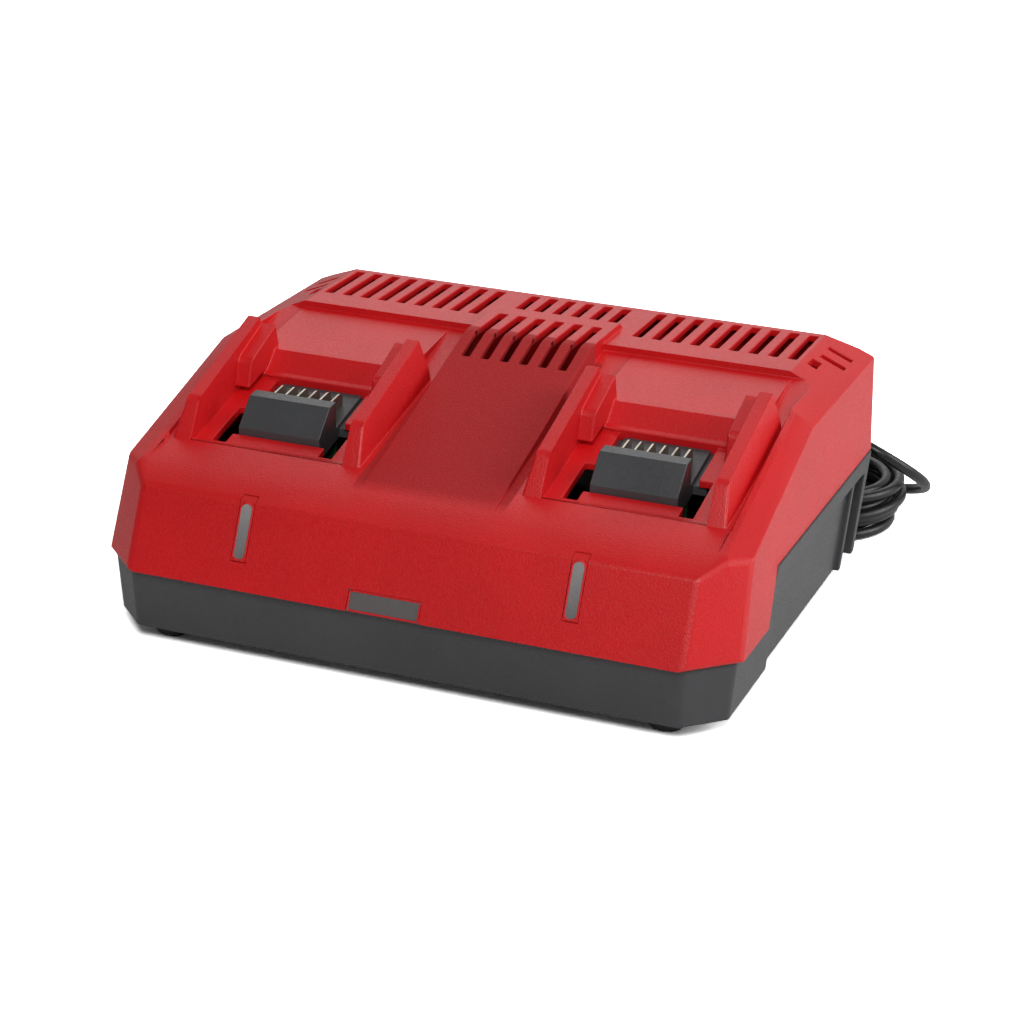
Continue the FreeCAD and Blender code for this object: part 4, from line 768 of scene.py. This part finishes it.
# %% Windows
RIM = 0.45 * MM         # radius of the rim's section
QUARTER_STEPS = 6
SEAT_LIFT = 0.45 * MM
PILL_LIFT = SEAT_LIFT + 0.1 * MM
PILL_THICK = 1.0 * MM
PILL_CORNER = 3.2 * MM
PILL_INSET = 0.6 * MM
RIM_LIFT = SEAT_LIFT - 0.05 * MM
RIM_INSET = 0.5 * MM
POWER_CORNER = 1.4 * MM
POWER_INSET = 0.4 * MM
SAME_PLANE = 0.999      # least cosine between normals of one plane


def lens_plane(node):
    """Middle, normal, up axis, half width and half height of the face that looks to the front."""
    mesh = nodes[node].data
    front = min(mesh.polygons, key=lambda face: (round(face.normal.y, 3), -face.area))
    normal = front.normal.copy()
    front_faces = [face for face in mesh.polygons if face.normal.dot(normal) > SAME_PLANE]
    corners = [mesh.vertices[i].co for face in front_faces for i in face.vertices]
    across = Vector((1.0, 0.0, 0.0))
    above = normal.cross(across).normalized()
    if above.z < 0:
        above.negate()
    wide = [spot.dot(across) for spot in corners]
    tall = [spot.dot(above) for spot in corners]
    middle = across * (min(wide) + max(wide)) / 2 + above * (min(tall) + max(tall)) / 2
    middle += normal * corners[0].dot(normal)
    return middle, normal, above, (max(wide) - min(wide)) / 2, (max(tall) - min(tall)) / 2


def window_outline(plane, radius, inset, lift):
    """Points around a window with round corners, in the lens's plane."""
    middle, normal, above, half_wide, half_tall = plane
    half_wide -= inset
    half_tall -= inset
    radius = min(radius, half_wide)
    spots = []
    for corner, (side, end) in enumerate(((1, 1), (-1, 1), (-1, -1), (1, -1))):
        for step in range(QUARTER_STEPS + 1):
            angle = math.pi / 2 * (corner + step / QUARTER_STEPS)
            u = side * (half_wide - radius) + radius * math.cos(angle)
            v = end * (half_tall - radius) + radius * math.sin(angle)
            spots.append(middle + Vector((u, 0.0, 0.0)) + above * v + normal * lift)
    return spots


def add_piece(name, mesh, slot):
    mesh.materials.clear()
    mesh.materials.append(finishes[slot])
    piece = bpy.data.objects.new(name, mesh)
    bpy.context.scene.collection.objects.link(piece)
    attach(piece, "housing")
    print(name, len(mesh.polygons), "faces")
    return piece


def add_rim(name, spots):
    data = bpy.data.curves.new(name, "CURVE")
    data.dimensions = "3D"
    data.bevel_depth = RIM
    data.bevel_resolution = 2
    spline = data.splines.new("POLY")
    spline.points.add(len(spots) - 1)
    for point, spot in zip(spline.points, spots):
        point.co = (*spot, 1.0)
    spline.use_cyclic_u = True
    rim = bpy.data.objects.new(name, data)
    bpy.context.scene.collection.objects.link(rim)
    graph = bpy.context.evaluated_depsgraph_get()
    mesh = bpy.data.meshes.new_from_object(rim.evaluated_get(graph), depsgraph=graph)
    bpy.data.objects.remove(rim)
    for face in mesh.polygons:
        face.use_smooth = True
    add_piece(name, mesh, "red_shell")


def add_light(name, node, spots, normal, thick):
    """A clear pill in the window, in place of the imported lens."""
    mesh = prism_mesh(name, spots, [spot - normal * thick for spot in spots])
    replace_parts(add_piece(name, mesh, "clear_lens"), node)


def add_seat(name, node, shift):
    """The red moulding around a round-ended window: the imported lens's own shape, nearly flush with the cover."""
    mesh = nodes[node].data.copy()
    weld(mesh)
    mesh.transform(Matrix.Translation(shift))
    add_piece(name, mesh, "red_shell")


for side in ("right", "left"):
    lens = f"status_lens_{side}"
    plane = lens_plane(lens)
    add_seat(f"lens_seat_{side}", lens, plane[1] * SEAT_LIFT)
    add_rim(f"status_rim_{side}", window_outline(plane, PILL_CORNER, RIM_INSET, RIM_LIFT))
    pill = window_outline(plane, PILL_CORNER, PILL_INSET, PILL_LIFT)
    add_light(f"status_light_{side}", lens, pill, plane[1], PILL_THICK)
add_rim("power_rim", window_outline(lens_plane("power_lens"), POWER_CORNER, POWER_INSET, 0.0))

# %% [markdown]
# ## The cord
# The mains cord leaves the back through its sleeve, climbs over the loose coil, winds through it and ends in the plug.
# It is one smooth NURBS curve guided by listed points, with the coil's turns from the rule that the solid follows:
# in, up a layer, out, up a layer.

# %% Cord
CORD = 5.0 * MM
COIL_CENTRE = Vector((103.0, 153.0, 0.0)) * MM
COIL_RADIUS = 37.0 * MM
COIL_PITCH = 6.2 * MM
COIL_LAYER = 6.0 * MM
COIL_TURNS = 1.375      # in each layer
COIL_CLIMB = 0.5        # turns taken to reach the next layer
COIL_START = math.radians(100.0)
COIL_STEPS = 16         # points to a turn
TANGENT_STEP = 0.004    # turns over which the direction at the coil's ends is measured
COIL_LAYERS = 4
COIL_LIFT = 0.3 * MM    # of the lowest turn over the table
INTO_COIL = 24.0 * MM   # straight guide before the coil
OUT_OF_COIL = 25.0 * MM
SLEEVE_END = Vector((60.0, 136.357, 30.0)) * MM
LEAD_ROUTE = [
    (60.0, 152.0, 30.0), (76.0, 166.0, 38.0), (101.0, 158.0, 44.0), (124.0, 142.0, 42.0),
    (143.0, 148.0, 31.0), (150.0, 170.0, 16.0), (138.0, 190.0, 6.0),
]
TAIL_ROUTE = [(52.0, 178.0, 16.0), (30.0, 166.0, 10.0), (8.0, 160.0, 8.5)]
PLUG_ENTRY = (-12.0, 160.0, 8.5)


def coil_point(turns):
    stage = COIL_TURNS + COIL_CLIMB
    layer = min(int(turns // stage), COIL_LAYERS - 1)
    within = turns - layer * stage
    out = min(within, COIL_TURNS) / COIL_TURNS
    share = 1 - out if layer % 2 == 0 else out
    height = layer + max(0.0, within - COIL_TURNS) / COIL_CLIMB
    angle = math.tau * turns + COIL_START
    radius = COIL_RADIUS - COIL_PITCH * COIL_TURNS * (1 - share)
    low = CORD / 2 + COIL_LIFT
    return COIL_CENTRE + Vector((radius * math.cos(angle), radius * math.sin(angle), low + COIL_LAYER * height))


def cord_points():
    total = COIL_LAYERS * COIL_TURNS + (COIL_LAYERS - 1) * COIL_CLIMB
    count = round(total * COIL_STEPS)
    coil = [coil_point(total * i / count) for i in range(count + 1)]
    into = (coil_point(TANGENT_STEP) - coil[0]).normalized()
    away = (coil[-1] - coil_point(total - TANGENT_STEP)).normalized()
    lead = [SLEEVE_END] + [Vector(spot) * MM for spot in LEAD_ROUTE] + [coil[0] - into * INTO_COIL]
    tail = [coil[-1] + away * OUT_OF_COIL] + [Vector(spot) * MM for spot in TAIL_ROUTE] + [Vector(PLUG_ENTRY) * MM]
    return lead + coil + tail


def add_cord():
    data = bpy.data.curves.new("mains_cord", "CURVE")
    data.dimensions = "3D"
    data.bevel_depth = CORD / 2
    data.bevel_resolution = 3
    data.resolution_u = 4
    data.use_fill_caps = True
    spline = data.splines.new("NURBS")
    points = cord_points()
    spline.points.add(len(points) - 1)
    for point, spot in zip(spline.points, points):
        point.co = (*spot, 1.0)
    spline.order_u = 3
    spline.use_endpoint_u = True
    spline.use_smooth = True
    data.materials.append(finishes["cord_rubber"])
    cord = bpy.data.objects.new("mains_cord", data)
    bpy.context.scene.collection.objects.link(cord)
    return cord


cord = add_cord()
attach(cord, "housing")
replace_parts(cord, "cord_coil", "cord_lead", "cord_tail")
print("cord points:", len(cord.data.splines[0].points))

# %% [markdown]
# ## Table, light and background
# A plain white table with large soft lamps before, beside and behind the charger. The world is pale behind it and dim in
# front, so the deck and the side wall mirror some light and the front face keeps its full red. The floor is extra
# bright to the camera only, so no extra light comes up onto the charger, and its shadow stays.


# %% Floor, world and lamps
FLOOR_HALF = 6.0
FLOOR_GREY = 0.8        # as every ray but the camera's meets it
FLOOR_SEEN = 2.6
LAMP_AIM = Vector((0.0, 0.0, 0.05))
WORLD_FALL = (("From Min", -0.05), ("From Max", 0.65), ("To Min", 0.05), ("To Max", 0.55))


def add_floor():
    half = FLOOR_HALF
    mesh = bpy.data.meshes.new("floor")
    mesh.from_pydata([(-half, -half, 0), (half, -half, 0), (half, half, 0), (-half, half, 0)], [], [(0, 1, 2, 3)])
    paint = Paint("floor_white")
    seen = paint.node("ShaderNodeLightPath", output="Is Camera Ray")
    tint = paint.blend(seen, (FLOOR_GREY,) * 3 + (1.0,), (FLOOR_SEEN,) * 3 + (1.0,))
    mesh.materials.append(paint.finish(Base_Color=tint, Roughness=0.9, Specular_IOR_Level=0.0))
    floor = bpy.data.objects.new("floor", mesh)
    bpy.context.scene.collection.objects.link(floor)


def add_world():
    """White to the camera; for light, pale behind the charger and dim in front of it."""
    world = bpy.data.worlds.new("studio")
    bpy.context.scene.world = world
    world.use_nodes = True
    tree = world.node_tree
    place = tree.nodes.new("ShaderNodeTexCoord")
    split = tree.nodes.new("ShaderNodeSeparateXYZ")
    fall = tree.nodes.new("ShaderNodeMapRange")
    for name, value in WORLD_FALL:
        fall.inputs[name].default_value = value
    path = tree.nodes.new("ShaderNodeLightPath")
    mix = tree.nodes.new("ShaderNodeMixShader")
    fill = tree.nodes["Background"]
    seen = tree.nodes.new("ShaderNodeBackground")
    for background in (fill, seen):
        background.inputs["Color"].default_value = (1.0, 1.0, 1.0, 1.0)
    tree.links.new(place.outputs["Generated"], split.inputs[0])
    tree.links.new(split.outputs["Y"], fall.inputs["Value"])
    tree.links.new(fall.outputs["Result"], fill.inputs["Strength"])
    tree.links.new(path.outputs["Is Camera Ray"], mix.inputs[0])
    tree.links.new(fill.outputs[0], mix.inputs[1])
    tree.links.new(seen.outputs[0], mix.inputs[2])
    tree.links.new(mix.outputs[0], tree.nodes["World Output"].inputs["Surface"])


def add_lamp(name, place, wide, power):
    """A round soft lamp, turned to the charger's middle."""
    data = bpy.data.lights.new(name, "AREA")
    data.shape = "DISK"
    data.size = wide
    data.energy = power
    lamp = bpy.data.objects.new(name, data)
    lamp.location = place
    lamp.rotation_euler = (Vector(place) - LAMP_AIM).to_track_quat("Z", "Y").to_euler()
    bpy.context.scene.collection.objects.link(lamp)


add_floor()
add_world()
add_lamp("key_front", (0.6, -1.65, 1.8), wide=1.1, power=38.0)
add_lamp("side_right", (1.7, 0.4, 0.9), wide=1.5, power=22.0)
add_lamp("top_back", (-0.7, 1.9, 1.4), wide=1.6, power=6.0)
bpy.context.scene.view_settings.view_transform = "Standard"
